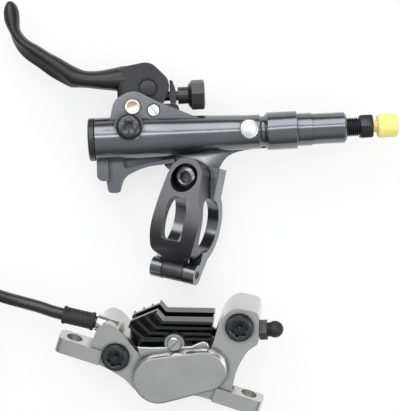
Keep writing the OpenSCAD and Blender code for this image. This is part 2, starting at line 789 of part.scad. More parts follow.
function half_outline() = soften([
    [-29.2, 1, 0], [-28.8, 10.6, 3], [-25.4, 13.6, 3], [-20.6, 12.4, 3],
    [-9.4, 4.4, 3], [-1, 7.6, 0], [17.4, 14.8, 4], [17, 29.4, 4],
    [20.4, 36.4, 4], [30.8, 37.4, 2.5], [32.6, 31, 3], [34.6, 24.6, 2],
    [31.2, 20.4, 3], [29.4, 10.8, 4], [30.6, tab_top, 0], [31, -tab_t + tab_top, 0],
    [22, -4.8, 3], [15.4, -5.2, 4], [9.6, -10.8, 5], [1, -13, 6],
    [-6.4, -11.4, 5], [-12, -7.6, 3], [-22, -tab_t + tab_top, 3], [-29.2, -tab_t + tab_top, 0]
]);

module tab(side) {
    x = side > 0 ? mount_x[1] : mount_x[0];
    reach = 6.2;
    translate([0, tab_top, tab_mid_z]) rotate([90, 0, 0]) linear_extrude(tab_t) polygon(soften([
        [side > 0 ? 24 : -24, -tab_depth / 2, 0], [x + side * reach, -tab_depth / 2, 3],
        [x + side * reach, tab_depth / 2, 3], [side > 0 ? 24 : -24, tab_depth / 2, 0]
    ]));
}

// Outline around two circles on the X axis and the tangents between them
function oblong(pitch, r1, r2, n = 20) =
    let (a = acos((r1 - r2) / pitch))
    concat(
        [for (i = [0:n]) let (t = a + i * (360 - 2 * a) / n) [r1 * cos(t) - pitch / 2, r1 * sin(t)]],
        [for (i = [0:n]) let (t = -a + i * 2 * a / n) [r2 * cos(t) + pitch / 2, r2 * sin(t)]]
    );

function at_height(outline, z) = [for (p = outline) [p.x, p.y, z]];

// Raised face over the two pistons of one half
module lobes() {
    big = big_piston_r + 1.7;
    small = small_piston_r + 1.3;
    loft([
        at_height(oblong(piston_pitch, big, small), 4),
        at_height(oblong(piston_pitch, big, small), lobe_t - 1.3),
        at_height(oblong(piston_pitch, big - 0.4, small - 0.4), lobe_t - 0.4),
        at_height(oblong(piston_pitch, big - 1.3, small - 1.3), lobe_t)
    ]);
}

module in_pair() {
    translate([pair_at.x, pair_at.y, 0]) rotate([0, 0, pair_turn]) children();
}

// Cuts that both halves share, for the half that lies above z = 0
module half_cuts() {
    in_pair() {
        translate([bay_t.x, bay_n.x, -1]) cube([bay_t.y - bay_t.x, bay_n.y - bay_n.x, bay_w / 2 + 1]);
        translate([-60, -40, -1]) cube([120, 40 + disc_edge_n, disc_slot / 2 + 1]);
        translate([-piston_pitch / 2, 0, 0]) cylinder(r = big_piston_r + slide_gap, h = lobe_t - 1.6);
        translate([piston_pitch / 2, 0, 0]) cylinder(r = small_piston_r + slide_gap, h = lobe_t - 1.6);
        translate([axle_at.x, axle_at.y, -1]) cylinder(r = axle_r + turn_gap, h = 30);
        for (at = cal_bolt_at)
            translate([at.x, at.y, -1]) cylinder(r = cal_bolt_r, h = 30);
    }
}

// Flared boss on the rim of the pad bay, in which the pad axle sits
module axle_boss() {
    in_pair() translate([axle_at.x, axle_at.y, bay_w / 2]) {
        cylinder(r = axle_boss_r, h = half_t - bay_w / 2 + 0.4);
        linear_extrude(half_t - bay_w / 2 - 0.2) polygon(soften([
            [-axle_boss_r + 0.6, 0, 0], [-axle_boss_r + 0.2, -3, 2], [-10.4, -4, 2], [-10.4, -8, 0],
            [10.4, -8, 0], [10.4, -5.6, 2], [axle_boss_r - 0.2, -2.6, 2], [axle_boss_r - 0.6, 0, 0]
        ]));
    }
}

module caliper_outer_half() {
    color([0.78, 0.79, 0.8]) on_caliper() difference() {
        union() {
            linear_extrude(half_t) polygon(half_outline());
            in_pair() lobes();
            axle_boss();
            tab(-1);
            tab(1);
            translate(hose_exit) x_rod(3.4, -0.6, 8);
            translate(nipple_at) rotate([0, 0, nipple_turn]) x_rod(3.6, -6, 0);
        }
        half_cuts();
        in_pair() for (at = cal_bolt_at)
            translate([at.x, at.y, half_t - 0.6]) cylinder(r = cal_head_r + 0.4, h = 10);
        for (x = mount_x)
            translate([x, 20, tab_mid_z]) rotate([90, 0, 0]) cylinder(r = mount_hole_r, h = 40);
        for (x = mount_x)
            translate([x, tab_top, tab_mid_z]) rotate([-90, 0, 0]) cylinder(r = 6, h = 12);
        translate(hose_exit) rotate([0, 0, exit_turn]) x_rod(1.6, -8, 6);
        translate(nipple_at) rotate([0, 0, nipple_turn]) {
            x_rod(2.2, -7, 1);
            x_rod(nipple_hex_r + part_gap, 0, 12);
        }
    }
}

module caliper_inner_half() {
    color([0.76, 0.77, 0.78]) on_caliper() mirror([0, 0, 1]) difference() {
        union() {
            linear_extrude(half_t) polygon(half_outline());
            in_pair() lobes();
            axle_boss();
        }
        half_cuts();
    }
}

module caliper_bolt(i) {
    color([0.1, 0.1, 0.11]) on_pair() translate([cal_bolt_at[i].x, cal_bolt_at[i].y, half_t - 0.6 + cal_head_t])
        socket_screw(cal_head_r, cal_head_t, cal_bolt_r - 0.05, 2 * half_t - 2.4, 2.9, 6);
}

module caliper_bolt_1() { caliper_bolt(0); }
module caliper_bolt_2() { caliper_bolt(1); }

module brake_piston(side, x, r) {
    color([0.85, 0.84, 0.8]) on_pair() mirror([0, 0, side > 0 ? 0 : 1]) translate([x, 0, bay_w / 2 - 0.05])
        difference() {
            cylinder(r = r, h = lobe_t - bay_w / 2 - 1.9);
            translate([0, 0, -eps]) cylinder(r = r - 2, h = 3);
        }
}

module piston_outer_1() { brake_piston(1, -piston_pitch / 2, big_piston_r); }
module piston_outer_2() { brake_piston(1, piston_pitch / 2, small_piston_r); }
module piston_inner_1() { brake_piston(-1, -piston_pitch / 2, big_piston_r); }
module piston_inner_2() { brake_piston(-1, piston_pitch / 2, small_piston_r); }

function pad_outline() = soften([
    [bay_t.x + pad_gap, -8, 2.5], [bay_t.y - pad_gap, -8, 2.5], [bay_t.y - pad_gap, 9, 2],
    [14.4, 11, 1], [12.4, 15, 1], [-14, 16.4, 1], [-16, 12.6, 1], [bay_t.x + pad_gap, 9, 2]
]);

// Line of cooling fin k, from its right end over its bend to its left end
function fin_line(k) =
    let (
        n = 10.4 + k * fin_pitch,
        right = [14 + 0.4 * (n - 10.4), n],
        bend_t = -12.4 + 3.1 * k,
        mid = [bend_t, n + 0.225 * (right.x - bend_t)],
        rise = 6.6 - 0.9 * k
    )
    [right, mid, [bend_t - (0.68 - 0.06 * k) * rise, mid.y + rise]];

// Radiator over the top of a pad: a web with fins that stand out sideways
module radiator() {
    low = fin_line(0);
    high = fin_line(fin_count - 1);
    up = [0, fin_t];
    aside = fin_t * [0.8, 0.9];
    translate([0, 0, -1.2]) linear_extrude(plate_t) polygon([
        low[0], high[0] + up, high[1] + aside, high[2] + aside, low[2] + aside, low[2], low[1]
    ]);
    difference() {
        for (k = [0:fin_count - 1])
            let (line = fin_line(k))
            linear_extrude(fin_reach - bay_w / 2 + plate_t) polygon([
                line[0], line[0] + up, line[1] + aside, line[2] + aside, line[2], line[1]
            ]);
        translate([axle_at.x, axle_at.y, plate_t - 0.2]) cylinder(r = axle_boss_r + 0.5, h = 10);
        translate([-11, axle_at.y - 9, plate_t - 0.2]) cube([22, 5.6, 10]);
    }
}

module pad_plate(side) {
    color([0.13, 0.13, 0.14]) on_pair() mirror([0, 0, side > 0 ? 0 : 1])
        translate([0, 0, bay_w / 2 - plate_t - 0.05]) difference() {
            union() {
                linear_extrude(plate_t) polygon(pad_outline());
                radiator();
            }
            translate([axle_at.x, axle_at.y, -5]) cylinder(r = axle_r + 0.15, h = 20);
        }
}

module outer_pad_plate() { pad_plate(1); }
module inner_pad_plate() { pad_plate(-1); }

module pad_lining(side) {
    color([0.3, 0.27, 0.24]) on_pair() mirror([0, 0, side > 0 ? 0 : 1])
        translate([0, 0, bay_w / 2 - plate_t - lining_t - 0.05]) linear_extrude(lining_t) polygon(soften([
            [bay_t.x + 1.4, -7.4, 2.5], [bay_t.y - 1.4, -7.4, 2.5], [bay_t.y - 1.6, 5, 3], [bay_t.x + 1.6, 5, 3]
        ]));
}

module outer_pad_lining() { pad_lining(1); }
module inner_pad_lining() { pad_lining(-1); }

module pad_spring() {
    w = bay_w / 2 - plate_t - lining_t - 0.5;
    color([0.7, 0.7, 0.72]) on_pair() translate([0, 0, -w]) linear_extrude(2 * w) difference() {
        polygon(soften([[-14, 9.4, 1], [-8, 13.6, 3], [8, 13.6, 3], [14, 9.4, 1], [14, 8.8, 0], [8, 13, 3],
            [-8, 13, 3], [-14, 8.8, 0]]));
        translate(axle_at) circle(r = axle_r + 0.2);
    }
}

module pad_axle() {
    color([0.8, 0.8, 0.82]) on_pair() translate([axle_at.x, axle_at.y, 0]) difference() {
        union() {
            translate([0, 0, -axle_len / 2]) cylinder(r = axle_r, h = axle_len);
            translate([0, 0, half_t + 0.4]) cylinder(r = axle_head_r, h = 1.4);
        }
        rotate([0, 0, 40]) translate([-3, -0.35, half_t + 1.2]) cube([6, 0.7, 2]);
    }
}

module axle_clip() {
    color([0.7, 0.7, 0.72]) on_pair() translate([axle_at.x, axle_at.y, -half_t - 1.4])
        ring(3, axle_r, 0.6);
}

module bleed_nipple() {
    color([0.1, 0.1, 0.11]) on_caliper() translate(nipple_at) rotate([0, 0, nipple_turn]) {
        x_rod(2.15, -4, 1);
        translate([0.05, 0, 0]) rotate([0, 90, 0]) cylinder(r = nipple_hex_r, h = 3.2, $fn = 6);
        x_rod(2.2, 3, 6);
    }
}

module nipple_cap() {
    color([0.1, 0.1, 0.1]) on_caliper() translate(nipple_at) rotate([0, 0, nipple_turn]) difference() {
        union() {
            x_rod(2.9, 3.4, 6);
            translate([6.2, 0, 0]) sphere(r = 3.4);
        }
        x_rod(2.2, 2, 6);
    }
}

// Place of the hose's way out, with the hose along -X
module on_exit() {
    on_caliper() translate(hose_exit) rotate([0, 0, exit_turn]) children();
}

module hose_fitting() {
    color([0.1, 0.1, 0.11]) {
        on_exit() x_rod(2.5, -exit_len, -0.9);
        on_exit() x_rod(1.45, -1, 3.6);
    }
}

module hose_boot() {
    color([0.1, 0.1, 0.1]) on_exit() {
        x_rod(boot_r, -exit_len - boot_len, -exit_len);
        x_rod(boot_r + 0.3, -exit_len - 1.4, -exit_len);
        x_rod(boot_r + 0.3, -exit_len - boot_len, -exit_len - boot_len + 1);
    }
}

// Hose: leaves the boot, sinks to the table and ends in a tied coil
hose_line = [
    [-50.4, -35.1, 5.4], [-56, -33.3, 5.2], [-61.2, -31.3, 4.8], [-68, -29.2, 3.6],
    [-75.3, -27, 1.2], [-86, -23.2, -3.2], [-96, -19.4, -7.6], [-106, -16.4, -10.4],
    [-114, -15.2, -11.2]
];
coil_at = [-119, -44];
coil_w = 16;
coil_h = 11;
tie_t = 0.8;
tie_w = 5;

module hose() {
    color([0.08, 0.08, 0.08]) tube(course(hose_line, 2), hose_d / 2);
}

module hose_coil() {
    color([0.09, 0.09, 0.09]) translate([coil_at.x, coil_at.y, table_z + tie_t])
        rotate_extrude() translate([coil_d / 2 - coil_w / 2, 0]) square([coil_w, coil_h]);
}

module coil_tie() {
    color([0.15, 0.15, 0.16]) translate([coil_at.x - tie_w / 2, coil_at.y - coil_d / 2 - coil_w / 2, table_z])
        difference() {
            translate([0, -tie_t, 0]) cube([tie_w, coil_w + 2 * tie_t, coil_h + 2 * tie_t]);
            translate([-1, 0, tie_t]) cube([tie_w + 2, coil_w, coil_h]);
        }
}

master_body();
cylinder_end_cap();
reservoir_diaphragm();
reservoir_cover();
cover_screw_1();
cover_screw_2();
lever_blade();
pivot_pin();
pivot_bush_upper();
pivot_bush_lower();
reach_nut_pin();
reach_knob();
cam_link();
cam_roller();
push_rod();
master_piston();
primary_seal();
secondary_seal();
return_spring();
bleed_screw();
port_plug();
stroke_screw();
clamp_band();
hinge_pin();
clamp_bolt();
hose_nut();
shipping_plug();
caliper_outer_half();
caliper_inner_half();
caliper_bolt_1();
caliper_bolt_2();
piston_outer_1();
piston_outer_2();
piston_inner_1();
piston_inner_2();
outer_pad_plate();
outer_pad_lining();
inner_pad_plate();
inner_pad_lining();
pad_spring();
pad_axle();
axle_clip();
bleed_nipple();
nipple_cap();
hose_fitting();
hose_boot();
hose();
hose_coil();
coil_tie();
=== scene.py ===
import json
import math

import bmesh
import bpy
import numpy as np
from mathutils import Matrix, Vector


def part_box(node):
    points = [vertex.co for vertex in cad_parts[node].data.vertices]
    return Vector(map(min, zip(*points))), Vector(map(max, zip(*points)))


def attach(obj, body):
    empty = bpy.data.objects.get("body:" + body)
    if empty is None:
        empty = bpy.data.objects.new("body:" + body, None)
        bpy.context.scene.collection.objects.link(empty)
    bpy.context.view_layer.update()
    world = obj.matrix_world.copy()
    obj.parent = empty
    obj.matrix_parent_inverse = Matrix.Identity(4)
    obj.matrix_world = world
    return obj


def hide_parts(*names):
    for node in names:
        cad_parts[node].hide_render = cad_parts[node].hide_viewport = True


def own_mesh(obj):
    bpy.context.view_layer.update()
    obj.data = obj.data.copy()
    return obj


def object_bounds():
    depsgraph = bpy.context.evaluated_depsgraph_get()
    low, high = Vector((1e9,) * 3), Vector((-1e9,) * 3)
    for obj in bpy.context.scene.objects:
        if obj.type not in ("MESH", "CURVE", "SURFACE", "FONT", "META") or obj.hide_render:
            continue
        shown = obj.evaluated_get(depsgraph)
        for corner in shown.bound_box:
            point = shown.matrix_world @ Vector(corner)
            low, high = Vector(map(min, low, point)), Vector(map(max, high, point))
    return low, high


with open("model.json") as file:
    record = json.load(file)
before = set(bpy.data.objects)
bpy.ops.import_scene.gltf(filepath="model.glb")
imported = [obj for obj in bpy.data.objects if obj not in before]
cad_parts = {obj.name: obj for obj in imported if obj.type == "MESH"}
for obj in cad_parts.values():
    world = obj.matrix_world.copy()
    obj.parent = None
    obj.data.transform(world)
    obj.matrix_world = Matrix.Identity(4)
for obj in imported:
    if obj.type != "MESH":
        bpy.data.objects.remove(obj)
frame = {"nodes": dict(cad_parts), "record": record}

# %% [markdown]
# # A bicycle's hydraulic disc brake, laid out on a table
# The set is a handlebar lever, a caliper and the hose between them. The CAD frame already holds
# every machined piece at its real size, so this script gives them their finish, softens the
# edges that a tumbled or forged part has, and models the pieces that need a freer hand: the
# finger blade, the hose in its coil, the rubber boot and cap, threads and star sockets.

MM = 0.001
UP = (0, 0, 1)
ALONG = (1, 0, 0)
cad_lo, cad_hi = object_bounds()
print("CAD box in millimetres:", [round(v / MM, 1) for v in (*cad_lo, *cad_hi)])


def corner(node, high=False):
    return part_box(node)[1 if high else 0]


def middle(node):
    lo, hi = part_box(node)
    return (lo + hi) / 2


def top_of(node):
    at = middle(node)
    at.z = corner(node, True).z
    return at


def height_mm(node):
    return (corner(node, True).z - corner(node).z) / MM


# %% [markdown]
# ## Camera
# The photograph looks straight down on the table, a little turned against the cylinder. The
# camera stands 0.6 m above the handlebar bore, and its lens is worked out from the scale of the
# photograph, so that a millimetre in the plane of the bore is as many pixels as it is there.

# %% Camera over the table
IMAGE_W, IMAGE_H = 400, 411
PIXELS_PER_MM = 2.45
BORE_PIXEL = (186, 222)
PICTURE_TURN = math.radians(2.8)
CAMERA_HEIGHT = 0.6

right_mm = (IMAGE_W / 2 - BORE_PIXEL[0]) / PIXELS_PER_MM
up_mm = (BORE_PIXEL[1] - IMAGE_H / 2) / PIXELS_PER_MM
aim = Matrix.Rotation(-PICTURE_TURN, 3, "Z") @ Vector((right_mm * MM, up_mm * MM, 0))

bpy.ops.object.select_all(action="DESELECT")
bpy.ops.object.camera_add(location=(aim.x, aim.y, CAMERA_HEIGHT), rotation=(0, 0, -PICTURE_TURN))
camera = bpy.context.object
camera.data.sensor_width = 36
tall = IMAGE_H / PIXELS_PER_MM * MM
camera.data.lens = camera.data.sensor_width / 2 / (tall / 2 / CAMERA_HEIGHT)
camera.data.clip_start = 0.01
camera.data.clip_end = 20
bpy.context.scene.camera = camera
print("lens", round(camera.data.lens, 1), "mm, looking down on", [round(v / MM, 1) for v in aim])

# %% [markdown]
# ## Materials
# Most of this brake is aluminium: forged, polished or tumbled, and then anodised. Anodising
# keeps the metal's shine under a thin hard coat, so these are metals with a clear layer over
# them. Fasteners are steel, blackened in a hot salt bath, and the hose is a smooth nylon jacket.

# %% Colour and node helpers
def ink(code):
    def lin(c):
        return c / 12.92 if c <= 0.04045 else ((c + 0.055) / 1.055) ** 2.4
    return tuple(lin(int(code[i:i + 2], 16) / 255) for i in (0, 2, 4)) + (1.0,)


def add(tree, kind, settings=None, links=None):
    made = tree.nodes.new(kind)
    for key, value in (settings or {}).items():
        if isinstance(key, int) or key in made.inputs:
            made.inputs[key].default_value = value
        else:
            setattr(made, key, value)
    for key, source in (links or {}).items():
        tree.links.new(source, made.inputs[key])
    return made


def start_material(name, **sockets):
    made = bpy.data.materials.new(name)
    made.use_nodes = True
    shader = made.node_tree.nodes["Principled BSDF"]
    for key, value in sockets.items():
        shader.inputs[key.replace("_", " ")].default_value = value
    return made, made.node_tree, shader


# %% [markdown]
# ### Anodised aluminium
# Up close an anodised part shows a very fine, even grain where it was blasted or tumbled, and a
# slow drift of tone from the bath. Both come from noise in object coordinates, so they stay in
# place when the lever moves. Grain of 0.1 mm would vanish in the picture, so it is drawn at
# about 0.4 mm.

# %% Anodised finishes
DRIFT_MM = 14
# Reach of the painted shade that darkens steps and corners
CREASE_SHADE_MM = 2.2


def anodised(name, dark, light, rough, coat, grain_mm=0.4, bump=0.02):
    made, tree, shader = start_material(name, Metallic=0.9, Coat_Weight=coat, Coat_Roughness=0.12)
    at = add(tree, "ShaderNodeTexCoord")
    drift = add(tree, "ShaderNodeTexNoise", {"Scale": 1 / (DRIFT_MM * MM), "Detail": 2.0},
                {"Vector": at.outputs["Object"]})
    tone = add(tree, "ShaderNodeMix", {"data_type": "RGBA", "A": ink(dark), "B": ink(light)},
               {"Factor": drift.outputs["Fac"]})
    # Steps and corners are darkened by an ambient-occlusion node, as painted shade where little
    # light reaches them
    crease_shade_ao = add(tree, "ShaderNodeAmbientOcclusion", {"samples": 8, "Distance": CREASE_SHADE_MM * MM})
    dim = add(tree, "ShaderNodeMapRange", {"From Min": 0.35, "To Min": 0.3},
              {"Value": crease_shade_ao.outputs["AO"]})
    shaded = add(tree, "ShaderNodeMix",
                 {"data_type": "RGBA", "blend_type": "MULTIPLY", "Factor": 1.0},
                 {"A": tone.outputs["Result"], "B": dim.outputs["Result"]})
    tree.links.new(shaded.outputs["Result"], shader.inputs["Base Color"])
    grain = add(tree, "ShaderNodeTexNoise", {"Scale": 1 / (grain_mm * MM), "Detail": 3.0},
                {"Vector": at.outputs["Object"]})
    span = add(tree, "ShaderNodeMapRange", {"To Min": rough - 0.02, "To Max": rough + 0.03},
               {"Value": grain.outputs["Fac"]})
    tree.links.new(span.outputs["Result"], shader.inputs["Roughness"])
    lift = add(tree, "ShaderNodeBump", {"Strength": bump, "Distance": 0.05 * MM},
               {"Height": grain.outputs["Fac"]})
    tree.links.new(lift.outputs["Normal"], shader.inputs["Normal"])
    return made


# The polished cylinder: cool grey, with sharp bright and dark bands along its length
gloss_grey = anodised("glossy grey anodised aluminium", "67686d", "7b7c81", 0.2, 0.5)
# The tumbled clamp: a duller, warmer grey, whose highlights spread out
satin_grey = anodised("satin warm-grey anodised aluminium", "4f4e51", "605f62", 0.36, 0.15)
# The blade: nearly black, with a soft sheen that shows its curves
satin_black = anodised("satin black anodised aluminium", "343435", "424243", 0.42, 0.15)
# The caliper: a pale clear-anodised polish that mirrors the table and the lamps
bright_silver = anodised("bright satin silver aluminium", "bebebc", "d6d6d3", 0.22, 0.35)
# The port plug: blasted, so it looks evenly white from every side
white_disc = anodised("bead-blasted bright aluminium", "dcdddf", "ececee", 0.4, 0.1)
# The cooling fins: deep black between them, with a glint along each edge
fin_black = anodised("glossy black anodised cooling fins", "29292a", "39393a", 0.22, 0.8, 0.6)
# Hard anodising leaves a dull brownish grey
piston_hard = anodised("hard anodised piston alloy", "8d8468", "a09880", 0.4, 0.0)

# %% [markdown]
# ### Steel
# A plated or blackened surface is never quite even, so noise of about a millimetre changes its
# tone and its shine. Blackened steel is darker in its hollows, where the salt stays, than on its
# rubbed edges, and part of the edges' lighter tone is a painted glint.

# %% Steel finishes
SPOT_MM = 1.2


def steel(name, dark, light, rough, metallic=1.0):
    made, tree, shader = start_material(name, Metallic=metallic)
    at = add(tree, "ShaderNodeTexCoord")
    spots = add(tree, "ShaderNodeTexNoise", {"Scale": 1 / (SPOT_MM * MM), "Detail": 5.0},
                {"Vector": at.outputs["Object"]})
    edge = add(tree, "ShaderNodeNewGeometry")
    # Convex edges get the light tone: partly rubbed wear, partly a painted glint along the rims
    edge_wear_and_glint = add(tree, "ShaderNodeMapRange", {"From Min": 0.49, "From Max": 0.56, "To Max": 0.6},
               {"Value": edge.outputs["Pointiness"]})
    mixed = add(tree, "ShaderNodeMath", {"operation": "MULTIPLY_ADD", 1: 0.5},
                {0: spots.outputs["Fac"], 2: edge_wear_and_glint.outputs["Result"]})
    tone = add(tree, "ShaderNodeMix", {"data_type": "RGBA", "A": ink(dark), "B": ink(light)},
               {"Factor": mixed.outputs["Value"]})
    tree.links.new(tone.outputs["Result"], shader.inputs["Base Color"])
    span = add(tree, "ShaderNodeMapRange", {"To Min": rough - 0.06, "To Max": rough + 0.08},
               {"Value": spots.outputs["Fac"]})
    tree.links.new(span.outputs["Result"], shader.inputs["Roughness"])
    return made


# Nuts and fittings: blackened, dark in the hollows and grey where they are rubbed
black_steel = steel("blackened steel", "1c1c1e", "4a4a4d", 0.32, 0.8)
# Zinc plating: a bright, slightly blurred mirror
bright_steel = steel("bright zinc-plated steel", "b4b4b2", "dcdcda", 0.24)
# Bolt heads: a smoother black, whose lighter tone on the rims is a painted glint
bolt_black = steel("black oxide bolt steel", "323234", "5c5c5e", 0.26, 0.9)
# The clamp's bolt: phosphated to a mid grey, so its ring stands out in the dark bore
phosphate = steel("grey phosphated bolt steel", "58585b", "8c8c90", 0.28)
# The pivot pin: a pale, reddish metal
bronze_pin = steel("bronze-coloured pivot pin", "b9aaa1", "ddd2ca", 0.26)

# %% [markdown]
# ### Plastic, rubber and lining
# Moulded plastic has the faint orange-peel of its tool, rubber is matt with a little bloom, and
# a sintered brake lining is a pressed mix of copper and iron grains.

# %% Plastic, rubber and lining finishes
def moulded(name, dark, light, rough, peel_mm, bump=0.12, coat=0.0):
    made, tree, shader = start_material(name, Coat_Weight=coat, Coat_Roughness=0.15)
    at = add(tree, "ShaderNodeTexCoord")
    peel = add(tree, "ShaderNodeTexNoise", {"Scale": 1 / (peel_mm * MM), "Detail": 4.0},
               {"Vector": at.outputs["Object"]})
    tone = add(tree, "ShaderNodeMix", {"data_type": "RGBA", "A": ink(dark), "B": ink(light)},
               {"Factor": peel.outputs["Fac"]})
    tree.links.new(tone.outputs["Result"], shader.inputs["Base Color"])
    span = add(tree, "ShaderNodeMapRange", {"To Min": rough - 0.06, "To Max": rough + 0.08},
               {"Value": peel.outputs["Fac"]})
    tree.links.new(span.outputs["Result"], shader.inputs["Roughness"])
    lift = add(tree, "ShaderNodeBump", {"Strength": bump, "Distance": 0.1 * MM},
               {"Height": peel.outputs["Fac"]})
    tree.links.new(lift.outputs["Normal"], shader.inputs["Normal"])
    return made


# Knob and caps: black, smooth enough for a small highlight
black_plastic = moulded("moulded black nylon", "1d1d1e", "29292a", 0.34, 0.7, 0.08, 0.3)
# Boot, cap and seals: matt black, a little uneven
black_rubber = moulded("black nitrile rubber", "191919", "272726", 0.55, 0.5, 0.2)
# The hose: a long clear highlight on deep black
hose_jacket = moulded("smooth black nylon hose jacket", "151515", "202020", 0.3, 1.5, 0.04, 0.3)
# The transport plug: pale yellow, waxy
yellow_plug = moulded("yellow polyethylene", "f6e77e", "fdf29a", 0.42, 0.9)
# Ceramic pistons: ivory, hard and smooth
ivory_piston = moulded("ivory ceramic piston", "d8d2c0", "e6e1d2", 0.3, 0.8, 0.02)
# Linings: brown, coarse and quite matt
sintered = moulded("sintered metal lining", "4a3f36", "7a6a5a", 0.75, 0.5, 0.6)

# %% Finish for every CAD node
FINISH = {
    "master_body": gloss_grey, "cylinder_end_cap": black_plastic,
    "reservoir_diaphragm": black_rubber, "reservoir_cover": black_plastic,
    "cover_screw_1": bright_steel, "cover_screw_2": bright_steel, "lever_blade": satin_black,
    "pivot_pin": bronze_pin, "pivot_bush_upper": bronze_pin, "pivot_bush_lower": bronze_pin,
    "reach_nut_pin": black_steel, "reach_knob": black_plastic, "cam_link": satin_black,
    "cam_roller": bright_steel, "push_rod": bright_steel, "master_piston": piston_hard,
    "primary_seal": black_rubber, "secondary_seal": black_rubber, "return_spring": bright_steel,
    "bleed_screw": bolt_black, "port_plug": white_disc, "stroke_screw": bright_steel,
    "clamp_band": satin_grey, "hinge_pin": bolt_black, "clamp_bolt": phosphate,
    "hose_nut": black_steel, "shipping_plug": yellow_plug,
    "caliper_outer_half": bright_silver, "caliper_inner_half": bright_silver,
    "caliper_bolt_1": bolt_black, "caliper_bolt_2": bolt_black,
    "piston_outer_1": ivory_piston, "piston_outer_2": ivory_piston,
    "piston_inner_1": ivory_piston, "piston_inner_2": ivory_piston,
    "outer_pad_plate": fin_black, "inner_pad_plate": fin_black,
    "outer_pad_lining": sintered, "inner_pad_lining": sintered,
    "pad_spring": bright_steel, "pad_axle": bright_steel, "axle_clip": bright_steel,
    "bleed_nipple": black_steel, "nipple_cap": black_rubber, "hose_fitting": black_steel,
    "hose_boot": black_rubber, "hose": hose_jacket, "hose_coil": hose_jacket,
    "coil_tie": black_plastic,
}
BODY = {n: b for b, nodes in frame["record"]["behaviour"]["bodies"].items() for n in nodes}


def finish_with(piece, material):
    piece.data.materials.clear()
    piece.data.materials.append(material)


for name, piece in frame["nodes"].items():
    finish_with(piece, FINISH[name])
print(len(FINISH), "CAD nodes have their finish")

# %% [markdown]
# ## Modelling
# Three small helpers are used for every new piece. One merges loose points and turns the faces
# outward, one says which body a piece moves with and which node it stands for, and one selects
# points by their number.

# %% Helpers for modelling
def tidy_normals():
    bpy.ops.mesh.select_all(action="SELECT")
    bpy.ops.mesh.remove_doubles(threshold=0.002 * MM)
    bpy.ops.mesh.normals_make_consistent(inside=False)


def join_frame(piece, material, body, replaced=()):
    finish_with(piece, material)
    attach(piece, body)
    if replaced:
        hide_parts(*replaced)
    return piece


def select_points(piece, wanted):
    edit = bmesh.from_edit_mesh(piece.data)
    for v in edit.verts:
        v.select_set(False)
    edit.verts.ensure_lookup_table()
    for k in wanted:
        edit.verts[k].select_set(True)
    bmesh.update_edit_mesh(piece.data)


# %% [markdown]
# ## The hose
# A front brake's hose is about a metre long and 5 mm thick. It leaves the caliper's boot, sinks
# to the table past the edge of the picture, and the rest lies in a tied coil of five turns. The
# route's points are the ones that the frame's plain tube follows, and the coil's turns come
# from a loop: three lie side by side, and the others rest on them.

# %% Route of the hose
HOSE_R = 2.5 * MM
COIL_TURNS, POINTS_A_TURN = 5, 36
# Strands of the coil as (radius, height of the middle) in millimetres, from the first on
STRANDS_MM = [(30.8, 8.1), (33.2, 3.4), (28.1, 3.3), (23.0, 3.3), (25.5, 7.9), (25.5, 7.9)]
COIL_START = math.radians(80)
# Share of a turn after which the hose crosses to the next strand, and how high it climbs there
STRAIGHT_SHARE, CROSSING_MM = 0.72, 2.6
route = [Vector(p) * MM for p in (
    (-50.4, -35.1, 5.4), (-56, -33.3, 5.2), (-61.2, -31.3, 4.8), (-68, -29.2, 3.6),
    (-75.3, -27, 1.2), (-86, -23.2, -3.2), (-96, -19.4, -7.6), (-106, -16.4, -10.4),
    (-114, -15.2, -11.2),
)]
coil_mid = middle("hose_coil")
coil_floor = corner("hose_coil").z


def smooth_course(points, steps):
    course = []
    for i in range(len(points) - 1):
        p0, p1 = points[max(i - 1, 0)], points[i]
        p2, p3 = points[i + 1], points[min(i + 2, len(points) - 1)]
        for k in range(steps):
            t = k / steps
            course.append(0.5 * (2 * p1 + (p2 - p0) * t + (2 * p0 - 5 * p1 + 4 * p2 - p3) * t * t
                                 + (3 * p1 - p0 - 3 * p2 + p3) * t ** 3))
    return course + [points[-1]]


def coil_course():
    points = []
    for i in range(COIL_TURNS * POINTS_A_TURN + 1):
        turn = i / POINTS_A_TURN
        row = min(int(turn), len(STRANDS_MM) - 2)
        (r0, h0), (r1, h1) = STRANDS_MM[row:row + 2]
        mix = min(max((turn - row - STRAIGHT_SHARE) / (1 - STRAIGHT_SHARE), 0), 1)
        mix = mix * mix * (3 - 2 * mix)
        r = (r0 * (1 - mix) + r1 * mix) * MM
        h = (h0 * (1 - mix) + h1 * mix + CROSSING_MM * math.sin(math.pi * mix)) * MM
        a = COIL_START + 2 * math.pi * turn
        points.append(Vector((coil_mid.x + r * math.cos(a), coil_mid.y + r * math.sin(a),
                              coil_floor + h)))
    return points


course = smooth_course(route[:-1], 4)
path = smooth_course(course[:-1] + coil_course(), 1)


# %% [markdown]
# ### Jacket of the hose
# The jacket is one smooth tube. A ring of points stands square to the route at each of its
# points, neighbouring rings are joined by faces, and both ends are closed.

# %% Jacket of the hose, ring by ring
def swept(name, line, radius, sides):
    points, faces = [], []
    for i, p in enumerate(line):
        along = (line[min(i + 1, len(line) - 1)] - line[max(i - 1, 0)]).normalized()
        side = Vector(UP).cross(along).normalized()
        top = along.cross(side)
        for k in range(sides):
            a = 2 * math.pi * k / sides
            points.append(p + radius * (math.cos(a) * side + math.sin(a) * top))
    for i in range(len(line) - 1):
        for k in range(sides):
            j = (k + 1) % sides
            faces.append((i * sides + k, i * sides + j, (i + 1) * sides + j, (i + 1) * sides + k))
    faces.append(tuple(reversed(range(sides))))
    last = (len(line) - 1) * sides
    faces.append(tuple(range(last, last + sides)))
    data = bpy.data.meshes.new(name)
    data.from_pydata([tuple(p) for p in points], [], faces)
    data.polygons.foreach_set("use_smooth", [True] * len(data.polygons))
    made = bpy.data.objects.new(name, data)
    bpy.context.collection.objects.link(made)
    return made


hose_piece = swept("brake_hose", path, HOSE_R, 16)
join_frame(hose_piece, hose_jacket, "frame", ["hose", "hose_coil"])
print("hose:", len(hose_piece.data.polygons), "faces")

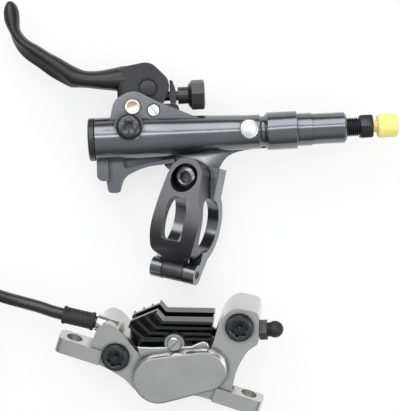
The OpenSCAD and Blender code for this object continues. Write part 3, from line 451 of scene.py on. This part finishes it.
# %% [markdown]
# ## Coil tie
# The spare hose is held by a nylon strap, a thin band pulled tight round the strands. It starts
# as a ring that is squared off and drawn out to the strap's width, and Solidify gives it its
# wall.

# %% Strap round the coil
STRAP_POINTS, STRAP_WALL_MM = 40, 0.7
# 0 leaves the ring round, and 1 makes it a square
SQUARENESS = 0.7
tie_lo, tie_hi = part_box("coil_tie")
tie_mid, tie_size = (tie_lo + tie_hi) / 2, tie_hi - tie_lo
bpy.ops.object.select_all(action="DESELECT")
bpy.ops.mesh.primitive_circle_add(vertices=STRAP_POINTS, radius=0.5, fill_type="NOTHING")
strap = bpy.context.object
strap.name = "nylon_strap"
bpy.ops.object.mode_set(mode="EDIT")
bpy.ops.mesh.select_mode(type="EDGE")
bpy.ops.mesh.select_all(action="SELECT")
bpy.ops.mesh.extrude_region_move(TRANSFORM_OT_translate={"value": (0, 0, tie_size.x)})
bpy.ops.mesh.select_mode(type="VERT")
for k in range(len(strap.data.vertices)):
    a = 2 * math.pi * k / STRAP_POINTS
    flat = max(abs(math.cos(a)), abs(math.sin(a))) ** -SQUARENESS
    select_points(strap, [k])
    bpy.ops.transform.resize(value=(flat, flat, 1), center_override=(0, 0, 0))
bpy.ops.mesh.select_all(action="SELECT")
bpy.ops.transform.resize(value=(0.98 * tie_size.y, 0.93 * tie_size.z, 1),
                         center_override=(0, 0, 0))
bpy.ops.object.mode_set(mode="OBJECT")
wall = strap.modifiers.new("wall", "SOLIDIFY")
wall.thickness, wall.offset = STRAP_WALL_MM * MM, -1
bpy.ops.object.modifier_apply(modifier=wall.name)
strap.rotation_euler = (math.radians(90), 0, math.radians(90))
strap.location = (tie_lo.x, tie_mid.y, tie_mid.z)
bpy.ops.object.transform_apply(location=True, rotation=True, scale=True)
bpy.ops.object.mode_set(mode="EDIT")
tidy_normals()
bpy.ops.object.mode_set(mode="OBJECT")
bpy.ops.object.shade_smooth_by_angle(angle=math.radians(35))
join_frame(strap, black_plastic, "frame", ["coil_tie"])
print("strap:", [round(v / MM, 1) for v in strap.dimensions], "mm")

# %% [markdown]
# ## Softened edges
# Forged and machined parts are tumbled before anodising, so no edge is sharp, and each catches
# a thin line of light. A copy of the CAD piece is merged, its sharp edges get a narrow bevel,
# and the copy stands in for the node.

# %% Copies with softened edges
SHARP = math.radians(32)


def softened(node, width_mm, segments=2, name=None):
    bpy.ops.object.select_all(action="DESELECT")
    source = frame["nodes"][node]
    made = source.copy()
    made.data = source.data.copy()
    made.name = name or "soft_" + node
    made.parent = None
    made.matrix_world = Matrix.Identity(4)
    bpy.context.collection.objects.link(made)
    for key in list(made.keys()):
        del made[key]
    made.hide_set(False)
    made.hide_render = made.hide_viewport = False
    made.select_set(True)
    bpy.context.view_layer.objects.active = made
    if made.data.has_custom_normals:
        bpy.ops.mesh.customdata_custom_splitnormals_clear()
    bpy.ops.object.mode_set(mode="EDIT")
    bpy.ops.mesh.select_all(action="SELECT")
    bpy.ops.mesh.remove_doubles(threshold=0.004 * MM)
    # Triangles that lie in one plane become one face again, or the bevel would break at each
    bpy.ops.mesh.dissolve_limited(angle_limit=math.radians(0.6))
    bpy.ops.object.mode_set(mode="OBJECT")
    bevel = made.modifiers.new("edges", "BEVEL")
    bevel.width = width_mm * MM
    bevel.segments = segments
    bevel.limit_method = "ANGLE"
    bevel.angle_limit = SHARP
    bpy.ops.object.modifier_apply(modifier=bevel.name)
    bpy.ops.object.shade_smooth_by_angle(angle=SHARP)
    # Large flat faces keep their own normals, so that only the bevels look rounded
    flat = made.modifiers.new("flat faces", "WEIGHTED_NORMAL")
    flat.keep_sharp = True
    bpy.ops.object.modifier_apply(modifier=flat.name)
    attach(made, BODY[node])
    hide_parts(node)
    return made


# %% Soft edges on the large pieces
SOFT_MM = {
    "master_body": 0.3, "clamp_band": 0.45, "caliper_outer_half": 0.4,
    "caliper_inner_half": 0.4, "cam_link": 0.25, "outer_pad_plate": 0.15,
    "inner_pad_plate": 0.15, "reach_knob": 0.4, "cylinder_end_cap": 0.2,
    "bleed_nipple": 0.2, "hinge_pin": 0.1, "reservoir_cover": 0.3,
}
for node, width in SOFT_MM.items():
    piece = softened(node, width)
    print(node, "softened:", len(piece.data.polygons), "faces")

# %% [markdown]
# ### Return spring
# The spring is squeezed between the cylinder's end and the plunger, and its turns come together
# as the lever is pulled. Its copy keeps the CAD shape with a very narrow bevel and has a mesh of
# its own.

# %% Return spring, a softened copy with its own mesh
spring = softened("return_spring", 0.02, name="plunger_spring")
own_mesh(spring)

# %% [markdown]
# ## Finger blade
# The blade is forged, then tumbled and anodised black. It has a rounded back, a crest that runs
# from the hub to the tip, and under the crest a hollow where the finger lies. A ring with that
# outline is extruded from station to station, and each ring is then set to its place, width and
# depth. A smooth course through the stations gives the rings between them.

# %% Stations of the finger blade
LEVER_Z = middle("lever_blade").z
# Finger side x, y, back x, y, half depth, and how far across the crest stands
BLADE_STATIONS = [
    (-17.6, 53.8, -17.0, 64.6, 4.6, 0.06), (-22.9, 54.6, -22.0, 65.3, 4.85, 0.06),
    (-27.8, 55.4, -27.4, 64.5, 4.9, 0.06), (-32.7, 56.1, -31.9, 63.9, 4.7, 0.06),
    (-36.8, 56.8, -35.6, 63.8, 4.5, 0.06), (-40.9, 57.3, -38.7, 64.2, 4.5, 0.08),
    (-44.6, 57.6, -41.3, 65.3, 4.6, 0.16), (-49.0, 60.0, -44.9, 67.4, 4.8, 0.34),
    (-53.0, 62.6, -48.5, 69.8, 4.9, 0.42), (-57.7, 66.4, -52.9, 72.4, 5.0, 0.46),
    (-62.5, 70.1, -57.3, 75.5, 5.0, 0.47), (-65.6, 73.8, -60.7, 77.6, 4.9, 0.4),
    (-67.4, 77.5, -63.0, 80.0, 4.7, 0.22), (-68.4, 80.7, -64.3, 82.5, 4.6, 0.1),
    (-69.6, 83.4, -64.4, 85.0, 4.5, 0.06), (-70.5, 86.1, -64.3, 87.5, 4.3, 0.06),
    (-70.7, 89.0, -64.5, 90.2, 4.0, 0.06), (-70.3, 91.5, -65.4, 92.5, 3.5, 0.06),
    (-69.1, 93.6, -66.9, 94.0, 2.4, 0.06),
]


# Outline of a ring: share from the finger side to the back, share of the half depth. The crest
# stands out more, the further it is from the finger side
PLAIN_CREST = 0.06


def blade_outline(crest):
    edge = 0.62 + 0.3 * min((crest - PLAIN_CREST) / 0.3, 1)
    points = [(crest * k / 4, 0.1 + (edge - 0.1) * (k / 4) ** 1.2) for k in range(5)]
    for k in range(1, 10):
        u = k / 9
        rise = edge + (1 - edge) * math.sin(math.pi * u / 0.7) if u < 0.35 else \
            (1 - ((u - 0.35) / 0.65) ** 2.6) ** 0.6
        points.append((crest + (1 - crest) * u, rise))
    for k in range(1, 12):
        v = math.cos(math.pi * k / 12)
        points.append((0.5 + 0.5 * v, -(1 - abs(v) ** 2.6) ** 0.45))
    return points


def between(rows, steps):
    made = []
    for i in range(len(rows) - 1):
        r0, r1 = rows[max(i - 1, 0)], rows[i]
        r2, r3 = rows[i + 1], rows[min(i + 2, len(rows) - 1)]
        for k in range(steps):
            t = k / steps
            made.append([0.5 * (2 * b + (c - a) * t + (2 * a - 5 * b + 4 * c - d) * t * t
                                + (3 * b - a - 3 * c + d) * t ** 3)
                         for a, b, c, d in zip(r0, r1, r2, r3)])
    return made + [list(rows[-1])]


# %% Finger blade, extruded station by station
# With no window the rotate operator turns the other way, so the angle's sign is changed
def turn_about_z(angle, centre):
    bpy.ops.transform.rotate(value=-angle, orient_axis="Z", center_override=centre)


ring_size = len(blade_outline(PLAIN_CREST))
bpy.ops.object.select_all(action="DESELECT")
bpy.ops.mesh.primitive_circle_add(vertices=ring_size, radius=0.5 * MM, fill_type="NGON")
finger_blade = bpy.context.object
finger_blade.name = "finger_blade"
bpy.ops.object.mode_set(mode="EDIT")
bpy.ops.mesh.select_mode(type="VERT")
for k, (share, height) in enumerate(blade_outline(PLAIN_CREST)):
    select_points(finger_blade, [k])
    now = finger_blade.data.vertices[k].co
    bpy.ops.transform.translate(value=((share - 0.5) * MM - now.x, -now.y, height * MM - now.z))
bpy.ops.mesh.select_all(action="SELECT")

# The outline stands across x at unit width and depth; each station gives it place, turn and size
stations = between(BLADE_STATIONS, 3)
here, heading, width, deep = Vector((0, 0, 0)), 0.0, 1.0, 1.0
for i, (x0, y0, x1, y1, depth, crest) in enumerate(stations):
    there = Vector(((x0 + x1) / 2 * MM, (y0 + y1) / 2 * MM, LEVER_Z))
    step = tuple(there - here)
    if i:
        bpy.ops.mesh.extrude_region_move(TRANSFORM_OT_translate={"value": step})
    else:
        bpy.ops.transform.translate(value=step)
    across = math.hypot(x1 - x0, y1 - y0)
    facing = math.atan2(y1 - y0, x1 - x0)
    turn_about_z(-heading, there)
    bpy.ops.transform.resize(value=(across / width, 1, depth / deep), center_override=there)
    turn_about_z(facing, there)
    here, heading, width, deep = there, facing, across, depth

# The crest leaves the finger side at the neck, runs up the blade and joins it again below the tip
plain = blade_outline(PLAIN_CREST)
for i, (x0, y0, x1, y1, depth, crest) in enumerate(stations):
    if crest < PLAIN_CREST + 0.01:
        continue
    for k, (share, height) in enumerate(blade_outline(crest)):
        aside, lift = share - plain[k][0], height - plain[k][1]
        if abs(aside) + abs(lift) > 0.001:
            select_points(finger_blade, [i * ring_size + k])
            bpy.ops.transform.translate(value=(aside * (x1 - x0) * MM, aside * (y1 - y0) * MM,
                                               lift * depth * MM))
tidy_normals()
bpy.ops.object.mode_set(mode="OBJECT")
bevel = finger_blade.modifiers.new("crest", "BEVEL")
bevel.width, bevel.segments, bevel.limit_method = 0.15 * MM, 2, "ANGLE"
bevel.angle_limit = math.radians(33)
bpy.ops.object.modifier_apply(modifier=bevel.name)
bpy.ops.object.shade_smooth_by_angle(angle=math.radians(40))
join_frame(finger_blade, satin_black, "lever", ["lever_blade"])
print("finger blade:", len(finger_blade.data.polygons), "faces over", len(stations), "rings")

# %% [markdown]
# The hub, the arm between the ears and the toe under the reach screw keep their machined shape,
# so they come from the CAD node. The part of it that the new blade replaces is cut off where the
# blade dives into the hub.

# %% Hub from the CAD node, without its blade
HUB_CUT_X = -25.4 * MM
hub = softened("lever_blade", 0.4, segments=3, name="lever_hub")
bpy.ops.object.mode_set(mode="EDIT")
bpy.ops.mesh.select_all(action="SELECT")
bpy.ops.mesh.bisect(plane_co=(HUB_CUT_X, 0, 0), plane_no=(1, 0, 0), use_fill=True,
                    clear_inner=True)
bpy.ops.object.mode_set(mode="OBJECT")
# The cut can leave a face without area, and validate drops it
hub.data.validate()
print("hub:", len(hub.data.polygons), "faces")

# %% [markdown]
# ## Turned pieces
# Nuts, screws, plugs and caps are made on a lathe, so one helper works like one: it starts from
# a disc and extrudes it ring by ring, each ring with its own height and radius. A ring that goes
# back down makes a recess. The finished piece is then tipped onto its axis.

# %% Lathe helper
def upward_caps(piece):
    edit = bmesh.from_edit_mesh(piece.data)
    top = max(v.co.z for v in edit.verts)
    return edit, [f for f in edit.faces if min(v.co.z for v in f.verts) > top - 0.001 * MM]


def shape_ring(piece, factors):
    edit = bmesh.from_edit_mesh(piece.data)
    ring = [v.index for v in next(f for f in edit.faces if f.select).verts]
    for k, factor in enumerate(factors):
        select_points(piece, ring[k::len(factors)])
        bpy.ops.transform.resize(value=(factor, factor, 1), center_override=(0, 0, 0))
    select_points(piece, ring)
    bpy.ops.mesh.select_mode(type="FACE")


def cut_slot(piece, wide, deep):
    for side in (-1, 1):
        bpy.ops.mesh.select_all(action="DESELECT")
        edit, caps = upward_caps(piece)
        for f in caps:
            f.select_set(True)
        bmesh.update_edit_mesh(piece.data)
        bpy.ops.mesh.bisect(plane_co=(0, side * wide / 2 * MM, 0), plane_no=(0, 1, 0))
    bpy.ops.mesh.select_all(action="DESELECT")
    edit, caps = upward_caps(piece)
    for f in caps:
        f.select_set(abs(f.calc_center_median().y) < wide / 2 * MM)
    bmesh.update_edit_mesh(piece.data)
    bpy.ops.mesh.extrude_region_move(TRANSFORM_OT_translate={"value": (0, 0, -deep * MM)})


def tip_onto(piece, at, along, spin=0.0):
    piece.rotation_mode = "QUATERNION"
    piece.rotation_quaternion = (Vector(along).to_track_quat("Z", "Y")
                                 @ Matrix.Rotation(spin, 3, "Z").to_quaternion())
    piece.location = at
    bpy.ops.object.transform_apply(location=True, rotation=True, scale=True)


# rings are (height, radius) in millimetres; shape is (ring, factors), slot is (width, depth)
def turned(name, rings, at, along, material, body, replaced=(), sides=48, shape=None,
           slot=None, spin=0.0, soft_mm=0.0, smooth=35):
    bpy.ops.object.select_all(action="DESELECT")
    bpy.ops.mesh.primitive_circle_add(vertices=sides, radius=rings[0][1] * MM, fill_type="NGON",
                                      location=(0, 0, rings[0][0] * MM))
    made = bpy.context.object
    made.name = name
    bpy.ops.object.transform_apply(location=True)
    bpy.ops.object.mode_set(mode="EDIT")
    bpy.ops.mesh.select_mode(type="FACE")
    bpy.ops.mesh.select_all(action="SELECT")
    for i, ((low, r0), (high, r1)) in enumerate(zip(rings, rings[1:])):
        step = (0, 0, (high - low) * MM)
        bpy.ops.mesh.extrude_region_move(TRANSFORM_OT_translate={"value": step})
        bpy.ops.transform.resize(value=(r1 / r0, r1 / r0, 1), center_override=(0, 0, 0))
        if shape and shape[0] == i + 1:
            shape_ring(made, shape[1])
    if slot:
        cut_slot(made, *slot)
    tidy_normals()
    bpy.ops.object.mode_set(mode="OBJECT")
    tip_onto(made, at, along, spin)
    if soft_mm:
        edges = made.modifiers.new("edges", "BEVEL")
        edges.width, edges.segments, edges.limit_method = soft_mm * MM, 2, "ANGLE"
        edges.angle_limit = math.radians(30)
        bpy.ops.object.modifier_apply(modifier=edges.name)
    bpy.ops.object.shade_smooth_by_angle(angle=math.radians(smooth))
    return join_frame(made, material, body, replaced)


def copied(piece, name, move, material, body, replaced=()):
    made = bpy.data.objects.new(name, piece.data.copy())
    bpy.context.collection.objects.link(made)
    made.data.transform(Matrix.Translation(move))
    return join_frame(made, material, body, replaced)


# %% [markdown]
# ## Fasteners and plugs of the lever
# The hose nut has a fine thread that shows, because the nut isn't screwed home in a brake that
# comes in its box, and a yellow plug keeps the bore clean. The port plug is a pressed disc, and
# the adjuster's trunnion is a plain pin end with a groove round it. The pivot pin and the stroke
# screw both have a screwdriver slot, which is cut by two bisections and a short extrusion.

# %% Hose nut and its plug
cyl_y = middle("hose_nut").y
nut_x = corner("hose_nut").x
thread = [(0, 3.3)]
for k in range(6):
    z = 0.2 + 0.8 * k
    thread += [(z, 3.35), (z + 0.3, 3.9), (z + 0.45, 3.9), (z + 0.75, 3.35)]
thread += [(5.5, 3.3)]
turned("nut_thread", thread, (nut_x, cyl_y, 0), ALONG, black_steel, "frame",
       ["hose_nut"])
nut_rings = [(0, 3.4), (0, 4.7), (0.45, 5.3), (5.15, 5.3), (5.6, 4.7), (5.6, 3.0), (3.4, 2.9)]
turned("nut_hexagon", nut_rings, (nut_x + 5.4 * MM, cyl_y, 0), ALONG, black_steel, "frame",
       ["hose_nut"], sides=6, soft_mm=0.2, smooth=25)
plug_x = corner("shipping_plug", True).x
plug_rings = [(-14.9, 2.3), (-14.4, 2.5), (-8.3, 2.55), (-8.2, 4.3), (-7.6, 4.75), (-7.0, 4.9),
              (-0.9, 4.9), (-0.3, 4.65), (0, 4.1), (-0.15, 3.2), (-0.9, 2.9)]
turned("transport_plug", plug_rings, (plug_x, cyl_y, 0), ALONG, yellow_plug, "frame",
       ["shipping_plug"], smooth=50)

# %% Port plug, pivot pin and stroke screw
plug_mid = middle("port_plug")
disc_rings = [(0, 3.84), (1.75, 3.84), (2.1, 3.5), (2.14, 3.1), (1.85, 2.9), (1.9, 2.4),
              (2.15, 1.6), (2.2, 0.6)]
turned("port_disc", disc_rings, (plug_mid.x, plug_mid.y, corner("port_plug").z), UP, white_disc,
       "frame", ["port_plug"], smooth=50)
pin_foot = -height_mm("pivot_pin")
pin_rings = [(pin_foot, 1.6), (pin_foot + 0.4, 2.0), (-1.5, 2.0), (-1.5, 3.2), (-0.5, 3.25),
             (-0.1, 2.95), (0, 2.5), (-0.15, 2.1)]
turned("pivot_pin_head", pin_rings, top_of("pivot_pin"), UP, bronze_pin, "frame",
       ["pivot_pin"], slot=(0.6, 0.5), spin=math.radians(40))
stroke_rings = [(-3, 2.6), (-0.9, 2.65), (-0.75, 2.2), (-0.6, 2.2), (-0.5, 2.65), (-0.25, 2.65),
                (0, 2.3)]
turned("stroke_screw_head", stroke_rings, top_of("stroke_screw"), UP, bright_steel, "frame",
       ["stroke_screw"], slot=(0.7, 0.8), spin=math.radians(-55))

# %% Clamp bolt and bleed screw
# The clamp's bolt leans, so its axis is the direction in which its points spread furthest
def axis_of(node):
    spots = np.array([tuple(v.co) for v in frame["nodes"][node].data.vertices])
    centre = spots.mean(axis=0)
    way = np.linalg.svd(spots - centre)[2][0]
    way = way if way[2] > 0 else -way
    along = (spots - centre) @ way
    return Vector(centre + way * along.max()), Vector(way), (along.max() - along.min()) / MM


# Eight points a side, each pushed out from the round ring to the hexagon's flat
HEX = [math.cos(math.pi / 6) / math.cos(math.radians(7.5 * k - 30)) for k in range(8)]


def socket_bolt(name, node, head_r, head_t, socket_r, material, place):
    top, way, tall = place
    rings = [(-tall, 2.0), (0.4 - tall, 2.3), (-head_t, 2.3), (-head_t, head_r - 0.3),
             (-head_t + 0.3, head_r), (-0.9, head_r), (-0.15, head_r - 0.8), (0, head_r - 1.1),
             (0, socket_r + 0.55), (-0.25, socket_r + 0.3), (-0.6 * head_t, socket_r + 0.25),
             (-0.62 * head_t, 0.8)]
    return turned(name, rings, top, way, material, BODY[node], [node], shape=(9, HEX),
                  smooth=30)


socket_bolt("hex_clamp_bolt", "clamp_bolt", 4.2, 6.0, 2.2, phosphate, axis_of("clamp_bolt"))
socket_bolt("hex_bleed_screw", "bleed_screw", 5.1, 2.8, 1.6, bolt_black,
            (top_of("bleed_screw"), Vector(UP), height_mm("bleed_screw")))

# %% Trunnion of the reach adjuster
half = height_mm("reach_nut_pin") / 2
trunnion = [(-half, 3.4), (-half + 0.3, 3.95), (half - 0.3, 3.95), (half - 0.05, 3.8),
            (half - 0.05, 3.6), (half - 0.4, 3.5), (half - 0.4, 3.3), (half - 0.05, 3.2),
            (half, 2.9)]
turned("reach_trunnion", trunnion, middle("reach_nut_pin"), UP, satin_black, "lever",
       ["reach_nut_pin"], sides=64)

# %% [markdown]
# ## Star-socket bolts of the caliper
# Two black bolts with a six-pointed star socket join the halves. The socket starts as a round
# ring in the head's top, and its points are drawn in by shares that repeat six times. One bolt is
# modelled, and the other is its copy. The caliper leans on the table, so its own axes are worked
# out from the direction in which the pads slide.

# %% Axes of the caliper
CAL_TURN, PAIR_TURN = math.radians(-20.6), math.radians(31)
# The middle of the two cylinders, in the caliper's own axes
PAIR_X, PAIR_Y = 9.2, 3
JOINTS = {j["name"]: j for j in frame["record"]["behaviour"]["joints"]}
CAL_Z = -Vector(JOINTS["outer_pad_slide"]["axis"]).normalized()
CAL_X = Vector((math.cos(CAL_TURN), math.sin(CAL_TURN), 0))
CAL_Y = CAL_Z.cross(CAL_X).normalized()
CAL_AT = Vector((-13, -57, -1.2)) * MM


def on_caliper(x, y, z):
    return CAL_AT + (x * CAL_X + y * CAL_Y + z * CAL_Z) * MM


def on_pair(x, y, z):
    cos, sin = math.cos(PAIR_TURN), math.sin(PAIR_TURN)
    return on_caliper(PAIR_X + x * cos - y * sin, PAIR_Y + x * sin + y * cos, z)


print("caliper axes", [tuple(round(v, 3) for v in axis) for axis in (CAL_X, CAL_Y, CAL_Z)])

# %% Star-socket bolts
# One lobe of the star: eight points, the middle one drawn in furthest
LOBES = [1 - 0.12 + 0.12 * math.cos(2 * math.pi * k / 8) for k in range(8)]
bolt_rings = [(-18.8, 2.6), (-18.4, 2.9), (-3.2, 2.9), (-3.2, 5.2), (-2.9, 5.45), (-0.75, 5.45),
              (-0.2, 5.1), (0, 4.6), (0, 3.8), (-0.3, 3.5), (-2.3, 3.4), (-2.5, 1.2), (-1.5, 1.1)]
bolt_spots = [on_pair(-24.9, 11.9, 11.6), on_pair(27.1, 14, 11.6)]
star_bolt = turned("star_bolt_1", bolt_rings, bolt_spots[0], CAL_Z, bolt_black, "frame",
                   ["caliper_bolt_1"], shape=(9, LOBES), smooth=30)
copied(star_bolt, "star_bolt_2", bolt_spots[1] - bolt_spots[0], bolt_black, "frame",
       ["caliper_bolt_2"])
print("star bolt:", len(star_bolt.data.polygons), "faces")

# %% [markdown]
# ## Pad axle and its rail
# The pad axle has a slotted head that shows between the fins and the cylinder cover. It is held
# by a narrow rail that is forged in one piece with the outer half and bridges the pads.

# %% Pad axle
axle_rings = [(-22.3, 1.5), (-21.9, 1.85), (-1.4, 1.85), (-1.4, 2.6), (-1.2, 2.8), (-0.3, 2.8),
              (0, 2.5)]
turned("slotted_axle", axle_rings, on_pair(0, 12.8, 10.8), CAL_Z, bright_steel, "frame",
       ["pad_axle"], slot=(0.75, 0.6), spin=math.radians(60))

# %% Rail over the pads
# Corners in the pair of cylinders' own axes; the long upper edge follows the foot of the fins
RAIL_Z, RAIL_MM = 8.1, 1.5
RAIL = [(-15.2, 8.6), (13.4, 8.0), (13.2, 10.4), (11.6, 11.2), (9.4, 11.0), (6.4, 10.2),
        (3.0, 10.8), (-3.2, 11.9), (-9.0, 12.9), (-15.2, 14.4)]
bpy.ops.object.select_all(action="DESELECT")
bpy.ops.mesh.primitive_circle_add(vertices=len(RAIL), radius=MM, fill_type="NGON")
rail = bpy.context.object
rail.name = "axle_rail"
bpy.ops.object.mode_set(mode="EDIT")
bpy.ops.mesh.select_mode(type="VERT")
for k, (x, y) in enumerate(RAIL):
    select_points(rail, [k])
    bpy.ops.transform.translate(value=on_pair(x, y, RAIL_Z) - rail.data.vertices[k].co)
bpy.ops.mesh.select_all(action="SELECT")
bpy.ops.mesh.extrude_region_move(TRANSFORM_OT_translate={"value": RAIL_MM * MM * CAL_Z})
tidy_normals()
bpy.ops.object.mode_set(mode="OBJECT")
edges = rail.modifiers.new("edges", "BEVEL")
edges.width, edges.segments = 0.45 * MM, 3
bpy.ops.object.modifier_apply(modifier=edges.name)
bpy.ops.object.shade_smooth_by_angle(angle=math.radians(35))
join_frame(rail, bright_silver, "frame")
print("rail:", len(rail.data.polygons), "faces")

# %% [markdown]
# ## Bleed cap and hose boot
# The bleed nipple wears a rubber cap with a lip and a ball end, and the hose leaves through
# a rubber boot with a lip at each end and shallow rings where it is meant to bend.

# %% Bleed cap
def in_plane(degrees):
    return CAL_X * math.cos(math.radians(degrees)) + CAL_Y * math.sin(math.radians(degrees))


cap_rings = [(3.3, 2.4), (3.4, 2.85), (4.1, 2.9), (4.25, 2.55), (4.5, 2.6)]
for k in range(9):
    a = math.radians(-42 + 15 * k)
    cap_rings.append((6.2 + 3.4 * math.sin(a), 3.4 * math.cos(a)))
cap_rings += [(9.56, 0.5)]
turned("ball_cap", cap_rings, on_caliper(33.4, 28.6, 4), in_plane(22), black_rubber, "frame",
       ["nipple_cap"], smooth=50)

# %% Hose boot
boot = [(-0.9, 2.0), (-0.7, 2.4), (1.5, 2.4), (1.6, 3.5), (1.8, 3.75), (2.7, 3.75), (3.0, 3.45)]
for k in range(5):
    z = 4.2 + 1.75 * k
    boot += [(z, 3.42), (z + 0.15, 3.32), (z + 0.45, 3.32), (z + 0.6, 3.42)]
boot += [(13.2, 3.4), (13.5, 3.7), (14.4, 3.7), (14.6, 3.45), (14.6, 2.55), (13.8, 2.5)]
turned("ringed_boot", boot, on_caliper(-29.2, 10.2, 4), -in_plane(5), black_rubber, "frame",
       ["hose_boot"], smooth=50)

# %% [markdown]
# ## Table and light
# The photograph has a white ground and broad soft light from above, with darker sides that give
# the glossy metal its contrast. The table is a white sheet under the part, which looks white but
# still takes the part's soft shadow.

# %% Table
bpy.ops.object.select_all(action="DESELECT")
bpy.ops.mesh.primitive_plane_add(size=6, location=(0, 0, cad_lo.z))
table_top = bpy.context.object
table_top.name = "table_top"
sheet, tree, shader = start_material("white paper sweep", Roughness=0.9,
                                     Base_Color=ink("f4f4f4"), Specular_IOR_Level=0.0)
ray = add(tree, "ShaderNodeLightPath")
glow = add(tree, "ShaderNodeEmission", {"Color": (1, 1, 1, 1), "Strength": 1.0})
# The camera and mirrors see the sheet glow for three quarters, and its shadows in the rest
seen = add(tree, "ShaderNodeMath", {"operation": "MAXIMUM"},
           {0: ray.outputs["Is Camera Ray"], 1: ray.outputs["Is Glossy Ray"]})
seen = add(tree, "ShaderNodeMath", {"operation": "MAXIMUM"},
           {0: seen.outputs["Value"], 1: ray.outputs["Is Transmission Ray"]})
seen = add(tree, "ShaderNodeMath", {"operation": "MULTIPLY", 1: 0.75}, {0: seen.outputs["Value"]})
both = add(tree, "ShaderNodeMixShader", {}, {"Fac": seen.outputs["Value"],
                                             1: shader.outputs["BSDF"],
                                             2: glow.outputs["Emission"]})
out = next(n for n in tree.nodes if n.type == "OUTPUT_MATERIAL")
tree.links.new(both.outputs["Shader"], out.inputs["Surface"])
finish_with(table_top, sheet)

# %% Light
world = bpy.data.worlds.new("studio")
bpy.context.scene.world = world
world.use_nodes = True
sky = world.node_tree
sky.nodes["Background"].inputs["Color"].default_value = ink("eef0f2")
way = add(sky, "ShaderNodeTexCoord")
parts = add(sky, "ShaderNodeSeparateXYZ", {}, {"Vector": way.outputs["Generated"]})
height = add(sky, "ShaderNodeMapRange", {"interpolation_type": "SMOOTHSTEP", "From Min": 0.1,
                                         "From Max": 0.95, "To Min": 0.15, "To Max": 0.72},
             {"Value": parts.outputs["Z"]})
sky.links.new(height.outputs["Result"], sky.nodes["Background"].inputs["Strength"])


# Each lamp is aimed at the handlebar bore
def lamp(name, at, size, power):
    bpy.ops.object.select_all(action="DESELECT")
    bpy.ops.object.light_add(type="AREA", location=at)
    made = bpy.context.object
    made.name = name
    made.data.shape = "RECTANGLE"
    made.data.size, made.data.size_y = size
    made.data.energy = power
    made.rotation_mode = "QUATERNION"
    made.rotation_quaternion = Vector(at).to_track_quat("Z", "Y")
    return made


lamp("key softbox", (-0.2, 0.8, 0.75), (1.2, 0.8), 7.5)
lamp("fill softbox", (0.75, -0.35, 0.8), (0.5, 0.8), 4.0)
# A long narrow strip nearly overhead draws the bright line along the cylinder
lamp("top strip", (-0.05, 0.24, 0.95), (1.3, 0.12), 2.4)

# %% View transform, and the end
bpy.context.scene.view_settings.view_transform = "Standard"
